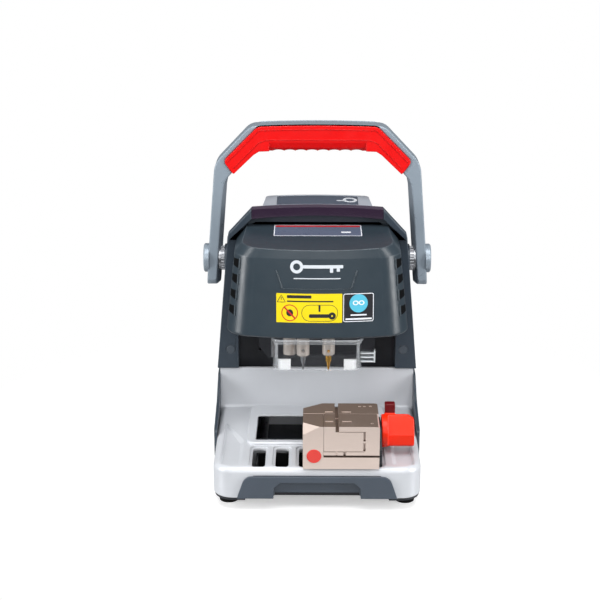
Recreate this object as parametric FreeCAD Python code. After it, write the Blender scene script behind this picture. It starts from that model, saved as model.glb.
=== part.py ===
import FreeCAD, Part
import math
import os

# Key duplicating machine: a compact bench machine with a silver base and chip tray,
# a dark arch-shaped housing, a cutting head that slides down its front, a clamp on
# an X-Y stage and a folding carrying handle.
# Units are millimetres. The origin is on the bench under the middle of the machine;
# +X is the operator's right, +Y is towards the back and +Z is up.

V = FreeCAD.Vector
X_AXIS = V(1, 0, 0)
Y_AXIS = V(0, 1, 0)
Z_AXIS = V(0, 0, 1)

# --- Driving dimensions -------------------------------------------------------

FIT = 0.02                  # radial clearance of a fixed shaft in its hole
RUN = 0.05                  # radial clearance of a running or sliding fit

BASE_FRONT_Y = -150.0
BASE_REAR_Y = 147.0
BASE_FRONT_HALF = 101.5     # half width of the base at its front
BASE_REAR_HALF = 104.8      # half width of the base at its back
FOOT_H = 12.5
FOOT_R = 11.0
PAN_T = 3.0
PAN_TOP = FOOT_H + PAN_T
PAN_FRONT_Y = -138.0        # the pan stops short of the drawer's finger arch
DECK_Z = 47.0               # top face of the tray deck
DECK_T = 4.0
BASE_WALL = 4.0
RIM_H = 3.0                 # raised rim round the tray opening
RAMP_FOOT_Y = 5.0
RAMP_TOP_Y = 10.0
CASTING_TOP = 90.0

OPENING_HALF = 62.0         # tray opening the clamp arm stands through
OPENING_FRONT = -89.0       # flush with the cross wall behind the drawer
OPENING_REAR = -25.5
RIM_HALF = 71.0
RIM_REAR = 2.2
RIM_FRONT = -96.0

SLOT_COUNT = 6              # chip slots along the front of the tray
SLOT_PITCH = 22.9
SLOT_W = 13.0
SLOT_FRONT = -144.0
SLOT_REAR = -100.0
SLOT_EDGE = 2.8             # width of the sunk border round a slot

BAY_WALL_Y = -92.0          # cross wall behind the chip drawer
BAY_WALL_T = 3.0
REAR_WALL_Y = 30.0          # cross wall that holds the back ends of the Y rods
REAR_WALL_T = 4.0

DRAWER_HALF = 61.0
DRAWER_Z0 = 16.0
DRAWER_Z1 = 38.0
DRAWER_BACK = -94.0

HOUSING_FRONT_Y = 8.0
HOUSING_REAR_Y = 147.0
HOUSING_FOOT_HALF = 106.2
HOUSING_SHOULDER_HALF = 93.2
SHOULDER_Z = 236.0          # shoulder and roof edge at the front of the housing
ROOF_HALF = 68.5
ROOF_Z = 264.0
ROOF_FALL = 0.28            # drop of the roof per millimetre towards the back
ROOF_CROWN = 2.2            # rise of the roof's middle above its edges
HOUSING_WALL = 3.5
MOUTH_HALF = 83.5           # inner edge of the two front columns

PIVOT_Y = 40.0              # carrying handle pivot
PIVOT_Z = 204.0
PIVOT_R = 6.0
HANDLE_DEPTH = 24.0

BROW_FRONT_Y = -4.0         # front of the arch round the mouth
WINDOW_HALF = 67.4          # half width of the smoked window in the arch
CONSOLE_FRONT_Y = 8.2
CONSOLE_REAR_Y = 54.0
CONSOLE_Z = 268.2           # top of the console at its side edges

HEAD_BOTTOM = 157.0
HEAD_REAR_Y = 6.0
HEAD_WALL = 2.5
TOOL_Y = -66.0              # row of the cutting and probing tools
CUTTER_X = 11.3
PROBE_X = -14.2
LIGHT_X = -28.0
TIP_Z = 116.4               # height of the cutter and probe tips at rest

SPINDLE_PULLEY_R = 8.0
MOTOR_PULLEY_R = 10.0
MOTOR_X = 48.0              # axis of the spindle motor
MOTOR_Y = -36.0

GUIDE_Y = 40.0              # vertical guide rods of the head
GUIDE_X = 45.0
GUIDE_R = 4.0

Y_ROD_X = 56.0
Y_ROD_Z = 22.5
Y_ROD_R = 4.0
X_ROD_Z = 34.0
X_ROD_R = 3.0
X_ROD_YS = (-82.0, -58.0)
SADDLE_FRONT = -88.0
SADDLE_REAR = -52.0
SCREW_R = 2.5
CENTRE_Y = -70.0            # X lead screw, midway between the X rods

CLAMP_X0 = -13.9
CLAMP_X1 = 59.9
CLAMP_Y0 = -152.0
CLAMP_Y1 = -93.0
CLAMP_Z0 = 50.6             # the underside rides over the tray's rim
SKIRT_Z0 = 47.4             # the front skirt hangs lower, just above the deck
CLAMP_TOP = 91.5
JAW_X0 = 6.3
JAW_BACK = -120.0
JAW_Z0 = 61.7
KNOB_Y = -110.0
KNOB_Z = 69.7

PANEL_REAR_Y = 149.5        # outer face of the back cover


# --- Small helpers ------------------------------------------------------------

def box(x0, x1, y0, y1, z0, z1):
    return Part.makeBox(x1 - x0, y1 - y0, z1 - z0, V(x0, y0, z0))


def rod(radius, start, direction, length):
    return Part.makeCylinder(radius, length, V(*start), direction)


def tube(outer, inner, start, direction, length):
    return rod(outer, start, direction, length).cut(rod(inner, start, direction, length))


def prism_y(points_xz, y0, y1):
    """Prism of an X-Z outline between two Y planes."""
    corners = [V(x, y0, z) for x, z in points_xz]
    face = Part.Face(Part.makePolygon(corners + corners[:1]))
    return face.extrude(V(0, y1 - y0, 0))


def prism_x(points_yz, x0, x1):
    """Prism of a Y-Z outline between two X planes."""
    corners = [V(x0, y, z) for y, z in points_yz]
    face = Part.Face(Part.makePolygon(corners + corners[:1]))
    return face.extrude(V(x1 - x0, 0, 0))


def prism_z(points_xy, z0, z1):
    """Prism of an X-Y outline between two Z planes."""
    corners = [V(x, y, z0) for x, y in points_xy]
    face = Part.Face(Part.makePolygon(corners + corners[:1]))
    return face.extrude(V(0, 0, z1 - z0))


def mirrored(points):
    """A right-hand outline and its mirror image, as one closed outline."""
    return points + [(-a, b) for a, b in reversed(points)]


def both_sides(shape):
    return Part.makeCompound([shape, shape.mirror(V(0, 0, 0), X_AXIS)])


def is_along(edge, axis):
    ends = [vertex.Point for vertex in edge.Vertexes]
    if len(ends) != 2 or edge.Curve.TypeId != "Part::GeomLine":
        return False
    step = ends[1] - ends[0]
    return abs(step.dot(axis)) > 0.999 * step.Length


def round_edges(shape, radius, axis, keep=lambda centre: True):
    edges = [e for e in shape.Edges if is_along(e, axis) and keep(e.CenterOfMass)]
    return shape.makeFillet(radius, edges)


def chamfer_edges(shape, size, axis, keep=lambda centre: True):
    edges = [e for e in shape.Edges if is_along(e, axis) and keep(e.CenterOfMass)]
    return shape.makeChamfer(size, edges)


def rounded_box(x0, x1, y0, y1, z0, z1, radius):
    return round_edges(box(x0, x1, y0, y1, z0, z1), radius, Z_AXIS)


def save(name, shape):
    shape.exportStep(os.path.join("parts", name + ".step"))


# --- Base ---------------------------------------------------------------------

def base_plan(inset, z0, z1, corner):
    outline = mirrored([
        (BASE_FRONT_HALF - inset, BASE_FRONT_Y + inset),
        (BASE_REAR_HALF - inset, BASE_REAR_Y - inset),
    ])
    return round_edges(prism_z(outline, z0, z1), corner, Z_AXIS)


def base_outer():
    body = base_plan(0.0, PAN_TOP, CASTING_TOP, 20.0)
    sky = prism_x([
        (BASE_FRONT_Y - 20, DECK_Z),
        (RAMP_FOOT_Y, DECK_Z),
        (RAMP_TOP_Y, CASTING_TOP),
        (RAMP_TOP_Y, CASTING_TOP + 20),
        (BASE_FRONT_Y - 20, CASTING_TOP + 20),
    ], -150, 150)
    body = body.cut(sky)
    lip = [e for e in body.Edges
           if abs(e.BoundBox.ZMin - DECK_Z) < 0.01 and abs(e.BoundBox.ZMax - DECK_Z) < 0.01
           and e.BoundBox.YMin < -50]
    body = body.makeFillet(6.0, lip)
    foot = [e for e in body.Edges if is_along(e, X_AXIS) and abs(e.CenterOfMass.y - RAMP_FOOT_Y) < 0.01
            and abs(e.CenterOfMass.z - DECK_Z) < 0.01]
    return body.makeFillet(3.0, foot)


def base_cavity():
    room = base_plan(BASE_WALL, PAN_TOP - 1, CASTING_TOP + 1, 16.0)
    profile = prism_x([
        (BASE_FRONT_Y, PAN_TOP - 1),
        (BASE_FRONT_Y, DECK_Z - DECK_T),
        (RAMP_FOOT_Y + 1.0, DECK_Z - DECK_T),
        (RAMP_TOP_Y + 3.8, CASTING_TOP + 1),
        (BASE_REAR_Y, CASTING_TOP + 1),
        (BASE_REAR_Y, PAN_TOP - 1),
    ], -150, 150)
    return room.common(profile)


def side_pocket():
    """Shallow triangular recess with sloped sides beside the tray opening."""
    rings = []
    for inset, z in ((0.0, DECK_Z + 0.01), (4.0, DECK_Z - 2.2)):
        corners = [V(73.5 + inset, -140.5 + inset, z), V(95.0 - 0.5 * inset, -140.5 + inset, z),
                   V(95.0 - 0.5 * inset, -38.0 - 2.5 * inset, z), V(73.5 + inset, -84.0 - 1.2 * inset, z)]
        rings.append(Part.makePolygon(corners + corners[:1]))
    return Part.makeLoft(rings, True, True)


def chip_slot(centre_x):
    half = SLOT_W / 2
    hole = rounded_box(centre_x - half, centre_x + half, SLOT_FRONT, SLOT_REAR,
                       DECK_Z - DECK_T - 1, DECK_Z + 1, 4.5)
    border = rounded_box(centre_x - half - SLOT_EDGE, centre_x + half + SLOT_EDGE,
                         SLOT_FRONT - SLOT_EDGE + 1, SLOT_REAR + SLOT_EDGE,
                         DECK_Z - 1.4, DECK_Z + 1, 5.5)
    return hole.fuse(border)


def tray_opening():
    """Opening with tight front corners, round rear corners and an undercut rear wall."""
    hole = box(-OPENING_HALF, OPENING_HALF, OPENING_FRONT, OPENING_REAR,
               DECK_Z - DECK_T - 1, DECK_Z + RIM_H + 1)
    hole = round_edges(hole, 4.0, Z_AXIS, lambda c: c.y > -40)
    hole = round_edges(hole, 1.2, Z_AXIS, lambda c: c.y < -80)
    undercut = prism_x([
        (OPENING_REAR - 4, DECK_Z + 1.6),
        (OPENING_REAR, DECK_Z + 1.6),
        (OPENING_REAR + 14.5, DECK_Z - DECK_T - 1),
        (OPENING_REAR - 4, DECK_Z - DECK_T - 1),
    ], -OPENING_HALF, OPENING_HALF)
    return hole.fuse(undercut)


def base_casting():
    body = base_outer().cut(base_cavity())
    rim = rounded_box(-RIM_HALF, RIM_HALF, RIM_FRONT, RIM_REAR, DECK_Z - 1, DECK_Z + RIM_H, 9.0)
    rim_top = [e for e in rim.Edges if e.BoundBox.ZMin > DECK_Z + RIM_H - 0.01]
    rim = rim.makeChamfer(1.2, rim_top)
    bay_wall = box(-99.0, 99.0, BAY_WALL_Y, BAY_WALL_Y + BAY_WALL_T, PAN_TOP, DECK_Z - 1)
    rear_wall = box(-101.5, 101.5, REAR_WALL_Y, REAR_WALL_Y + REAR_WALL_T, PAN_TOP, PAN_TOP + 20)
    body = body.multiFuse([rim, bay_wall, rear_wall]).removeSplitter()
    cuts = [tray_opening()]
    for index in range(SLOT_COUNT):
        cuts.append(chip_slot((index - (SLOT_COUNT - 1) / 2) * SLOT_PITCH))
    pocket = side_pocket()
    cuts += [pocket, pocket.mirror(V(0, 0, 0), X_AXIS)]
    cuts.append(box(-DRAWER_HALF - 1, DRAWER_HALF + 1, BASE_FRONT_Y - 1, BASE_FRONT_Y + 8,
                    PAN_TOP - 1, DRAWER_Z1 + 1))
    for side in (-1, 1):
        cuts.append(rod(Y_ROD_R + FIT, (side * Y_ROD_X, BAY_WALL_Y - 1, Y_ROD_Z), Y_AXIS, 140))
    cuts.append(rod(SCREW_R + RUN, (0, BAY_WALL_Y - 1, Y_ROD_Z), Y_AXIS, 140))
    return body.cut(Part.makeCompound(cuts))


def base_pan():
    pan = base_plan(1.0, FOOT_H, PAN_TOP, 19.0)
    return pan.cut(box(-70.0, 70.0, BASE_FRONT_Y - 5, PAN_FRONT_Y, 0, 20))


def foot_places():
    return [(side * 87.5, y) for side in (-1, 1) for y in (-120.0, 124.0)]


def rubber_foot(x, y):
    foot = Part.makeCone(FOOT_R - 1.5, FOOT_R, FOOT_H, V(x, y, 0), Z_AXIS)
    return foot.cut(rod(5.0, (x, y, -1), Z_AXIS, 2.5))


def rubber_feet():
    return Part.makeCompound([rubber_foot(x, y) for x, y in foot_places()])


def side_panel_right():
    outline = [(-70.0, 22.0), (-68.0, 50.0), (-22.0, 64.0), (8.0, 84.0), (143.0, 84.0), (143.0, 22.0)]
    panel = round_edges(prism_x(outline, 96.0, 109.0), 3.0, X_AXIS)
    face = prism_z([(96.0, -70.0), (104.4, -70.0), (105.6, -66.0), (105.6, 0.0), (106.4, 143.0),
                    (96.0, 143.0)], 10.0, 95.0)
    return panel.common(face).cut(base_plan(0.0, 0.0, 120.0, 20.0))


def chip_drawer():
    tray = box(-DRAWER_HALF, DRAWER_HALF, BASE_FRONT_Y, DRAWER_BACK, DRAWER_Z0, DRAWER_Z1)
    hollow = box(-DRAWER_HALF + 2, DRAWER_HALF - 2, BASE_FRONT_Y + 7, DRAWER_BACK - 2,
                 DRAWER_Z0 + 2, DRAWER_Z1 + 1)
    front = prism_y(mirrored([(78.0, 15.8), (70.3, 38.6)]), BASE_FRONT_Y - 2.6, BASE_FRONT_Y - 0.2)
    front = round_edges(front, 10.0, Y_AXIS, lambda c: c.z > 30)
    neck = box(-DRAWER_HALF, DRAWER_HALF, BASE_FRONT_Y - 0.3, BASE_FRONT_Y, DRAWER_Z0 + 2.5, DRAWER_Z1)
    arch = prism_y(mirrored([(42.4, 13.0), (42.4, 26.5), (36.0, 32.5)]),
                   BASE_FRONT_Y - 4, BASE_FRONT_Y + 4)
    arch = round_edges(arch, 3.0, Y_AXIS, lambda c: c.z > 20)
    under = box(-41.5, 41.5, BASE_FRONT_Y - 4, BASE_FRONT_Y + 12, 13.0, 19.5)
    drawer = tray.fuse([front, neck]).cut(hollow).cut(arch).cut(under)
    sill = box(-41.5, 41.5, BASE_FRONT_Y + 4, BASE_FRONT_Y + 14, 19.5, 21.5)
    drawer = drawer.fuse([sill, box(-41.5, 41.5, BASE_FRONT_Y + 12, BASE_FRONT_Y + 14, 16.0, 21.5)])
    return drawer.removeSplitter()


# --- Housing ------------------------------------------------------------------

def crowned_wire(points, crown, y):
    """Closed X-Z wire of a mirrored outline whose top edge is a shallow arc."""
    right = [V(x, y, z) for x, z in points]
    left = [V(-x, y, z) for x, z in points]
    edges = [Part.makeLine(a, b) for a, b in zip(right, right[1:])]
    edges.append(Part.Arc(right[-1], V(0, y, points[-1][1] + crown), left[-1]).toShape())
    edges += [Part.makeLine(a, b) for a, b in zip(left[::-1], left[-2::-1])]
    edges.append(Part.makeLine(left[0], right[0]))
    return Part.Wire(edges)


def crowned_arch(points, crown, y0, y1):
    return Part.Face(crowned_wire(points, crown, y0)).extrude(V(0, y1 - y0, 0))


def housing_section(inset, y, z0):
    """Housing outline at one Y: upright tapered sides, shoulders and a roof that fall back."""
    slope = (HOUSING_FOOT_HALF - HOUSING_SHOULDER_HALF) / (SHOULDER_Z - CASTING_TOP)
    drop = ROOF_FALL * (y - HOUSING_FRONT_Y)
    shoulder_z = SHOULDER_Z - drop - 0.4 * inset
    outline = [
        (HOUSING_FOOT_HALF + slope * (CASTING_TOP - z0) - inset, z0),
        (HOUSING_FOOT_HALF + slope * (CASTING_TOP - shoulder_z) - inset, shoulder_z),
        (ROOF_HALF - 0.4 * inset, ROOF_Z - drop - inset),
    ]
    return crowned_wire(outline, ROOF_CROWN, y)


def housing_block(inset, y0, y1, z0):
    return Part.makeLoft([housing_section(inset, y0, z0), housing_section(inset, y1, z0)], True, True)


def brow_arch():
    """Thin arch round the top of the housing's mouth, standing forward of its face."""
    outer = crowned_arch([(92.8, 233.0), (91.8, 241.4), (WINDOW_HALF, 268.0)], 2.5,
                         BROW_FRONT_Y, HOUSING_FRONT_Y)
    inner = crowned_arch([(90.6, 232.0), (90.6, 235.6), (WINDOW_HALF, 257.6)], 3.8,
                         BROW_FRONT_Y - 1, HOUSING_FRONT_Y + 1)
    return outer.cut(inner)


def housing_shell():
    outer = housing_block(0.0, HOUSING_FRONT_Y, HOUSING_REAR_Y, CASTING_TOP)
    window_gap = box(-WINDOW_HALF, WINDOW_HALF, -30, HOUSING_FRONT_Y, 230, 290)
    outer = outer.fuse(brow_arch().cut(window_gap))
    room = housing_block(HOUSING_WALL, HOUSING_FRONT_Y + HOUSING_WALL, HOUSING_REAR_Y - HOUSING_WALL,
                         CASTING_TOP - 1)
    mouth = prism_y(mirrored([(MOUTH_HALF, CASTING_TOP - 1), (MOUTH_HALF, 231.0), (64.0, 251.0)]),
                    HOUSING_FRONT_Y - 1, HOUSING_FRONT_Y + 6)
    shell = outer.cut(room)
    cheek = box(MOUTH_HALF, MOUTH_HALF + 3, HOUSING_FRONT_Y, HOUSING_FRONT_Y + 14, CASTING_TOP, 226.0)
    boss = rod(15.0, (88.0, PIVOT_Y, PIVOT_Z), X_AXIS, 10.0)
    shell = shell.fuse([cheek, cheek.mirror(V(0, 0, 0), X_AXIS), boss, boss.mirror(V(0, 0, 0), X_AXIS)])
    cuts = [mouth]
    cuts.append(box(-86.0, 86.0, HOUSING_REAR_Y - 6, HOUSING_REAR_Y + 1, 100.0, 200.0))
    for x, z in rear_screw_places():
        cuts.append(rod(1.5 + FIT, (x, HOUSING_REAR_Y - 6, z), Y_AXIS, 8))
    for side in (-1, 1):
        cuts.append(rod(PIVOT_R + FIT, (side * 104.0, PIVOT_Y, PIVOT_Z), X_AXIS * -side, 30.0))
        cuts.append(rod(4.6, (side * 91.8, HOUSING_FRONT_Y - 1, 111.5), Y_AXIS, 2.2))
    return shell.cut(Part.makeCompound(cuts)).removeSplitter()


def column_plugs():
    plug = rod(4.5, (91.8, HOUSING_FRONT_Y - 0.4, 111.5), Y_AXIS, 1.6)
    rim = [e for e in plug.Edges if e.BoundBox.YMax < HOUSING_FRONT_Y - 0.3]
    return both_sides(plug.makeFillet(0.3, rim))


def rear_screw_places():
    return [(side * 88.5, z) for side in (-1, 1) for z in (103.0, 197.0)]


def rear_panel():
    panel = box(-92.5, 92.5, HOUSING_REAR_Y, PANEL_REAR_Y, 94.0, 205.0)
    panel = round_edges(panel, 6.0, Y_AXIS)
    cuts = [rod(1.5 + FIT, (x, HOUSING_REAR_Y - 1, z), Y_AXIS, 5) for x, z in rear_screw_places()]
    cuts.append(rod(6.0 + RUN, (60.0, HOUSING_REAR_Y - 1, 122.0), Y_AXIS, 5))
    cuts.append(box(25.0, 45.0, HOUSING_REAR_Y - 1, 152, 114.0, 130.0))
    cuts.append(box(2.0, 15.0, HOUSING_REAR_Y - 1, 152, 117.0, 127.0))
    for row in range(6):
        z = 150.0 + 7.0 * row
        cuts.append(round_edges(box(-60, 60, HOUSING_REAR_Y - 1, 152, z, z + 3), 1.4, Y_AXIS))
    return panel.cut(Part.makeCompound(cuts))


def rear_screws():
    screws = []
    for x, z in rear_screw_places():
        shank = rod(1.5, (x, HOUSING_REAR_Y - 3, z), Y_AXIS, PANEL_REAR_Y - HOUSING_REAR_Y + 3)
        head = rod(3.0, (x, PANEL_REAR_Y, z), Y_AXIS, 1.8)
        socket = prism_y([(x + 1.4 * math.cos(math.pi / 3 * k), z + 1.4 * math.sin(math.pi / 3 * k))
                          for k in range(6)], PANEL_REAR_Y + 0.7, PANEL_REAR_Y + 3)
        screws.append(shank.fuse(head).cut(socket))
    return Part.makeCompound(screws)


def power_button():
    cap = rod(6.0, (60.0, HOUSING_REAR_Y - 2, 122.0), Y_AXIS, 7.6)
    edge = [e for e in cap.Edges if e.BoundBox.YMin > HOUSING_REAR_Y + 4]
    stem = rod(2.5, (60.0, HOUSING_REAR_Y - 7, 122.0), Y_AXIS, 5.0)
    return cap.makeFillet(1.2, edge).fuse(stem)


def power_inlet():
    body = box(25.0, 45.0, 131.0, HOUSING_REAR_Y + 1.6, 114.0, 130.0)
    body = round_edges(body, 1.5, Y_AXIS)
    well = rod(5.0, (35.0, 138.0, 122.0), Y_AXIS, 20.0)
    pin = rod(1.2, (35.0, 137.0, 122.0), Y_AXIS, 10.0)
    return body.cut(well).fuse(pin)


def usb_port():
    body = box(2.0, 15.0, 133.0, HOUSING_REAR_Y + 1.2, 117.0, 127.0)
    well = box(3.0, 14.0, 136.0, HOUSING_REAR_Y + 3, 118.0, 126.0)
    tongue = box(4.0, 13.0, 135.0, HOUSING_REAR_Y - 1, 122.5, 124.0)
    return body.cut(well).fuse(tongue)


def control_board():
    board = box(-62.0, 62.0, 66.0, 140.0, 20.0, 21.6)
    parts = [
        box(-20, 0, 86, 106, 21.6, 24.0),
        box(12, 30, 84, 98, 21.6, 23.5),
        box(-56, -40, 74, 128, 21.6, 32.0),
        box(40, 58, 72, 90, 21.6, 34.0),
    ]
    parts += [rod(4.0, (-20 + 11 * k, 126, 21.6), Z_AXIS, 12) for k in range(5)]
    posts = [rod(3.0, (x, y, PAN_TOP), Z_AXIS, 7.0) for x in (-56, 56) for y in (70, 136)]
    return board.multiFuse(parts + posts)


def console_slab(lift):
    return crowned_arch([(57.0, 240.0), (57.0, CONSOLE_Z + lift)], 1.6, CONSOLE_FRONT_Y, CONSOLE_REAR_Y)


def top_console():
    plan = prism_z(mirrored([(57.0, CONSOLE_FRONT_Y), (54.2, CONSOLE_REAR_Y)]), 240.0, 280.0)
    plan = round_edges(plan, 5.0, Z_AXIS)
    pocket = box(-42.2, 42.2, 12.8, 51.2, CONSOLE_Z - 1.4, 280.0)
    body = console_slab(0.0).common(plan)
    return body.cut(housing_block(0.0, HOUSING_FRONT_Y, 140.0, 200.0)).cut(pocket)


def console_inset():
    plan = round_edges(box(-42, 42, 13, 51, CONSOLE_Z - 1.4, 280.0), 2.0, Z_AXIS)
    return console_slab(-0.4).common(plan)


def brow_window():
    band = box(-WINDOW_HALF + FIT, WINDOW_HALF - FIT, -30, HOUSING_FRONT_Y, 230, 290)
    return brow_arch().common(band)


# --- Carrying handle ----------------------------------------------------------

def handle_outline():
    """Outer outline of the bar with its two shoulder bends on each side."""
    bar = crowned_arch([(117.0, 177.0), (113.9, 223.0), (106.7, 308.4), (69.6, 347.3)], 1.8,
                       PIVOT_Y - HANDLE_DEPTH / 2, PIVOT_Y + HANDLE_DEPTH / 2)
    bar = round_edges(bar, 24.0, Y_AXIS, lambda c: 300 < c.z < 320)
    return round_edges(bar, 16.0, Y_AXIS, lambda c: c.z > 340)


def handle_blank():
    """Bent bar of the handle, before the grip pocket and pivot bores are cut."""
    y0 = PIVOT_Y - HANDLE_DEPTH / 2
    y1 = PIVOT_Y + HANDLE_DEPTH / 2
    hole = mirrored([
        (103.6, 170.0), (100.7, 216.4), (96.9, 262.8), (95.3, 283.0), (93.4, 292.0),
        (88.8, 298.4), (68.2, 319.2), (61.5, 323.6),
    ])
    front_hole = mirrored([
        (107.9, 170.0), (103.6, 223.0), (99.7, 268.7), (97.4, 286.0), (94.0, 292.6),
        (88.8, 298.4), (68.2, 319.2), (61.5, 323.6),
    ])
    flare = Part.makeLoft([
        Part.makePolygon([V(x, y0 - 0.01, z) for x, z in front_hole + front_hole[:1]]),
        Part.makePolygon([V(x, y0 + 15.0, z) for x, z in hole + hole[:1]]),
    ], True, True)
    bar = handle_outline().cut(prism_y(hole, y0 - 1, y1 + 1)).cut(flare)
    profile = prism_x([
        (y0 + 4, 177.0), (y0, 183.0), (y0, 360.0), (y1, 360.0), (y1, 183.0), (y1 - 4, 177.0),
    ], -130, 130)
    return bar.common(profile)


def handle_frame():
    frame = handle_blank()
    cuts = [grip_space()]
    for side in (-1, 1):
        cuts.append(rod(PIVOT_R + RUN, (side * 95.0, PIVOT_Y, PIVOT_Z), X_AXIS * side, 30))
    return frame.cut(Part.makeCompound(cuts))


def grip_core():
    """Web of the frame that runs inside the grip."""
    y0 = PIVOT_Y - 6.5
    y1 = PIVOT_Y + 6.5
    inner = mirrored([(84.0, 286.0), (93.0, 302.0), (62.0, 334.4), (49.0, 336.0)])
    band = prism_y(inner, y0 - 1, y1 + 1)
    return handle_outline().common(box(-130, 130, y0, y1, 290, 360)).cut(band)


def grip_space():
    """Room the grip takes out of the frame, round the frame's web."""
    y0 = PIVOT_Y - HANDLE_DEPTH / 2 - 1.2
    y1 = PIVOT_Y + HANDLE_DEPTH / 2 + 1.2
    outer = crowned_arch([(87.6, 298.0), (97.3, 311.1), (61.5, 347.0)], 1.3, y0, y1)
    outer = round_edges(outer, 10.0, Y_AXIS, lambda c: c.z > 340)
    outer = round_edges(outer, 5.0, Y_AXIS, lambda c: 305 < c.z < 315)
    inner = mirrored([(87.6, 297.0), (66.0, 317.7), (60.5, 321.2), (50.0, 321.6)])
    return outer.cut(prism_y(inner, y0 - 1, y1 + 1)).cut(grip_core())


def handle_grip():
    grip = grip_space()
    y0 = PIVOT_Y - HANDLE_DEPTH / 2 - 1.2
    y1 = PIVOT_Y + HANDLE_DEPTH / 2 + 1.2
    for edge_y, step in ((y0, 1), (y1, -1)):
        grip = grip.cut(prism_x([
            (edge_y - step, 331.0), (edge_y, 331.0), (edge_y + 2.0 * step, 325.0),
            (edge_y + 4.5 * step, 322.0), (edge_y - step, 318.0),
        ], -50.0, 50.0))
    for index in range(8):
        grip = grip.cut(rod(14.0, ((index - 3.5) * 11.5, PIVOT_Y - 20, 308.8), Y_AXIS, 40))
    return grip


def handle_hubs():
    hub = tube(13.0, PIVOT_R + RUN, (98.1, PIVOT_Y, PIVOT_Z), X_AXIS, 6.0).cut(handle_blank())
    teeth = [rod(0.9, (97.0, PIVOT_Y + 13.2 * math.cos(a), PIVOT_Z + 13.2 * math.sin(a)), X_AXIS, 5)
             for a in [2 * math.pi * k / 24 for k in range(24)]]
    return both_sides(hub.cut(Part.makeCompound(teeth)))


def handle_caps():
    cap = rod(15.3, (114.4, PIVOT_Y, PIVOT_Z), X_AXIS, 5.9).cut(handle_blank())
    cap = max(cap.Solids, key=lambda solid: solid.CenterOfMass.x)
    rim = [e for e in cap.Edges if e.BoundBox.XMin > 120]
    cap = cap.makeChamfer(1.2, rim)
    ring = tube(11.5, 10.0, (119.7, PIVOT_Y, PIVOT_Z), X_AXIS, 2)
    return both_sides(cap.cut(ring))


def handle_pivots():
    return both_sides(rod(PIVOT_R, (88.0, PIVOT_Y, PIVOT_Z), X_AXIS, 26.4))


# --- Head lift behind the head ------------------------------------------------

def z_frame():
    plate = prism_y(mirrored([(86.0, PAN_TOP), (86.0, 228.0), (72.0, 244.0)]), 24.0, 28.0)
    window = box(-62.0, 62.0, 23.0, 29.0, 105.0, 238.0)
    lower_window = box(-60.0, 60.0, 23.0, 29.0, PAN_TOP - 1, 86.0)
    lower = box(-62.0, 62.0, 24.0, 54.0, 93.0, 99.0)
    upper = box(-62.0, 62.0, 24.0, 54.0, 240.0, 246.0)
    frame = plate.cut(window).cut(lower_window).fuse([lower, upper]).removeSplitter()
    cuts = []
    for side in (-1, 1):
        cuts.append(rod(GUIDE_R + FIT, (side * GUIDE_X, GUIDE_Y, 90), Z_AXIS, 160))
    cuts.append(rod(SCREW_R + RUN, (0, GUIDE_Y, 90), Z_AXIS, 160))
    return frame.cut(Part.makeCompound(cuts))


def z_guide_rods():
    return both_sides(rod(GUIDE_R, (GUIDE_X, GUIDE_Y, 93.0), Z_AXIS, 153.0))


def z_motor():
    body = box(-17.5, 17.5, 28.5, 63.5, 60.0, 93.0)
    body = chamfer_edges(body, 3.0, Z_AXIS)
    return body.cut(rod(SCREW_R + RUN, (0, GUIDE_Y, 82.0), Z_AXIS, 12))


def z_lead_screw():
    return rod(SCREW_R, (0, GUIDE_Y, 83.0), Z_AXIS, 162.0)


def z_carriage():
    plate = prism_y(mirrored([(52.0, 99.0), (62.0, 112.0), (62.0, 228.0)]), 16.0, 20.0)
    block = box(-58.0, 58.0, 20.0, 52.0, 140.0, 204.0)
    relief = box(-34.0, 34.0, 26.0, 53.0, 139.0, 205.0)
    nut = box(-10.0, 10.0, 24.0, 50.0, 160.0, 184.0)
    body = plate.fuse(block).cut(relief).fuse(nut)
    cuts = [rod(7.0, (side * GUIDE_X, GUIDE_Y, 139), Z_AXIS, 66) for side in (-1, 1)]
    cuts.append(rod(SCREW_R + RUN, (0, GUIDE_Y, 159), Z_AXIS, 26))
    return body.cut(Part.makeCompound(cuts)).removeSplitter()


def z_bushes():
    bushes = []
    for z in (140.0, 184.0):
        bushes.append(both_sides(tube(7.0, GUIDE_R + RUN, (GUIDE_X, GUIDE_Y, z), Z_AXIS, 20)))
    return Part.makeCompound([s for b in bushes for s in b.Solids])


# --- Cutting head -------------------------------------------------------------

def head_outline(z, half, corner_y, front_half, front_y, rear_y):
    """Closed wire: flat back, straight sides, round corners and a bowed front."""
    brow_y = front_y + 6.5
    chord = V(half - front_half, corner_y - brow_y, 0)
    bulge = V(-chord.y, chord.x, 0).normalize() * -0.19 * chord.Length
    middle = V((half + front_half) / 2, (corner_y + brow_y) / 2, 0) + bulge
    right_side = V(half, corner_y, z)
    right_brow = V(front_half, brow_y, z)
    left_side = V(-half, corner_y, z)
    left_brow = V(-front_half, brow_y, z)
    rear_right = V(half, rear_y, z)
    rear_left = V(-half, rear_y, z)
    return Part.Wire([
        Part.makeLine(rear_left, rear_right),
        Part.makeLine(rear_right, right_side),
        Part.Arc(right_side, V(middle.x, middle.y, z), right_brow).toShape(),
        Part.Arc(right_brow, V(0, front_y, z), left_brow).toShape(),
        Part.Arc(left_brow, V(-middle.x, middle.y, z), left_side).toShape(),
        Part.makeLine(left_side, rear_left),
    ])


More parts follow.
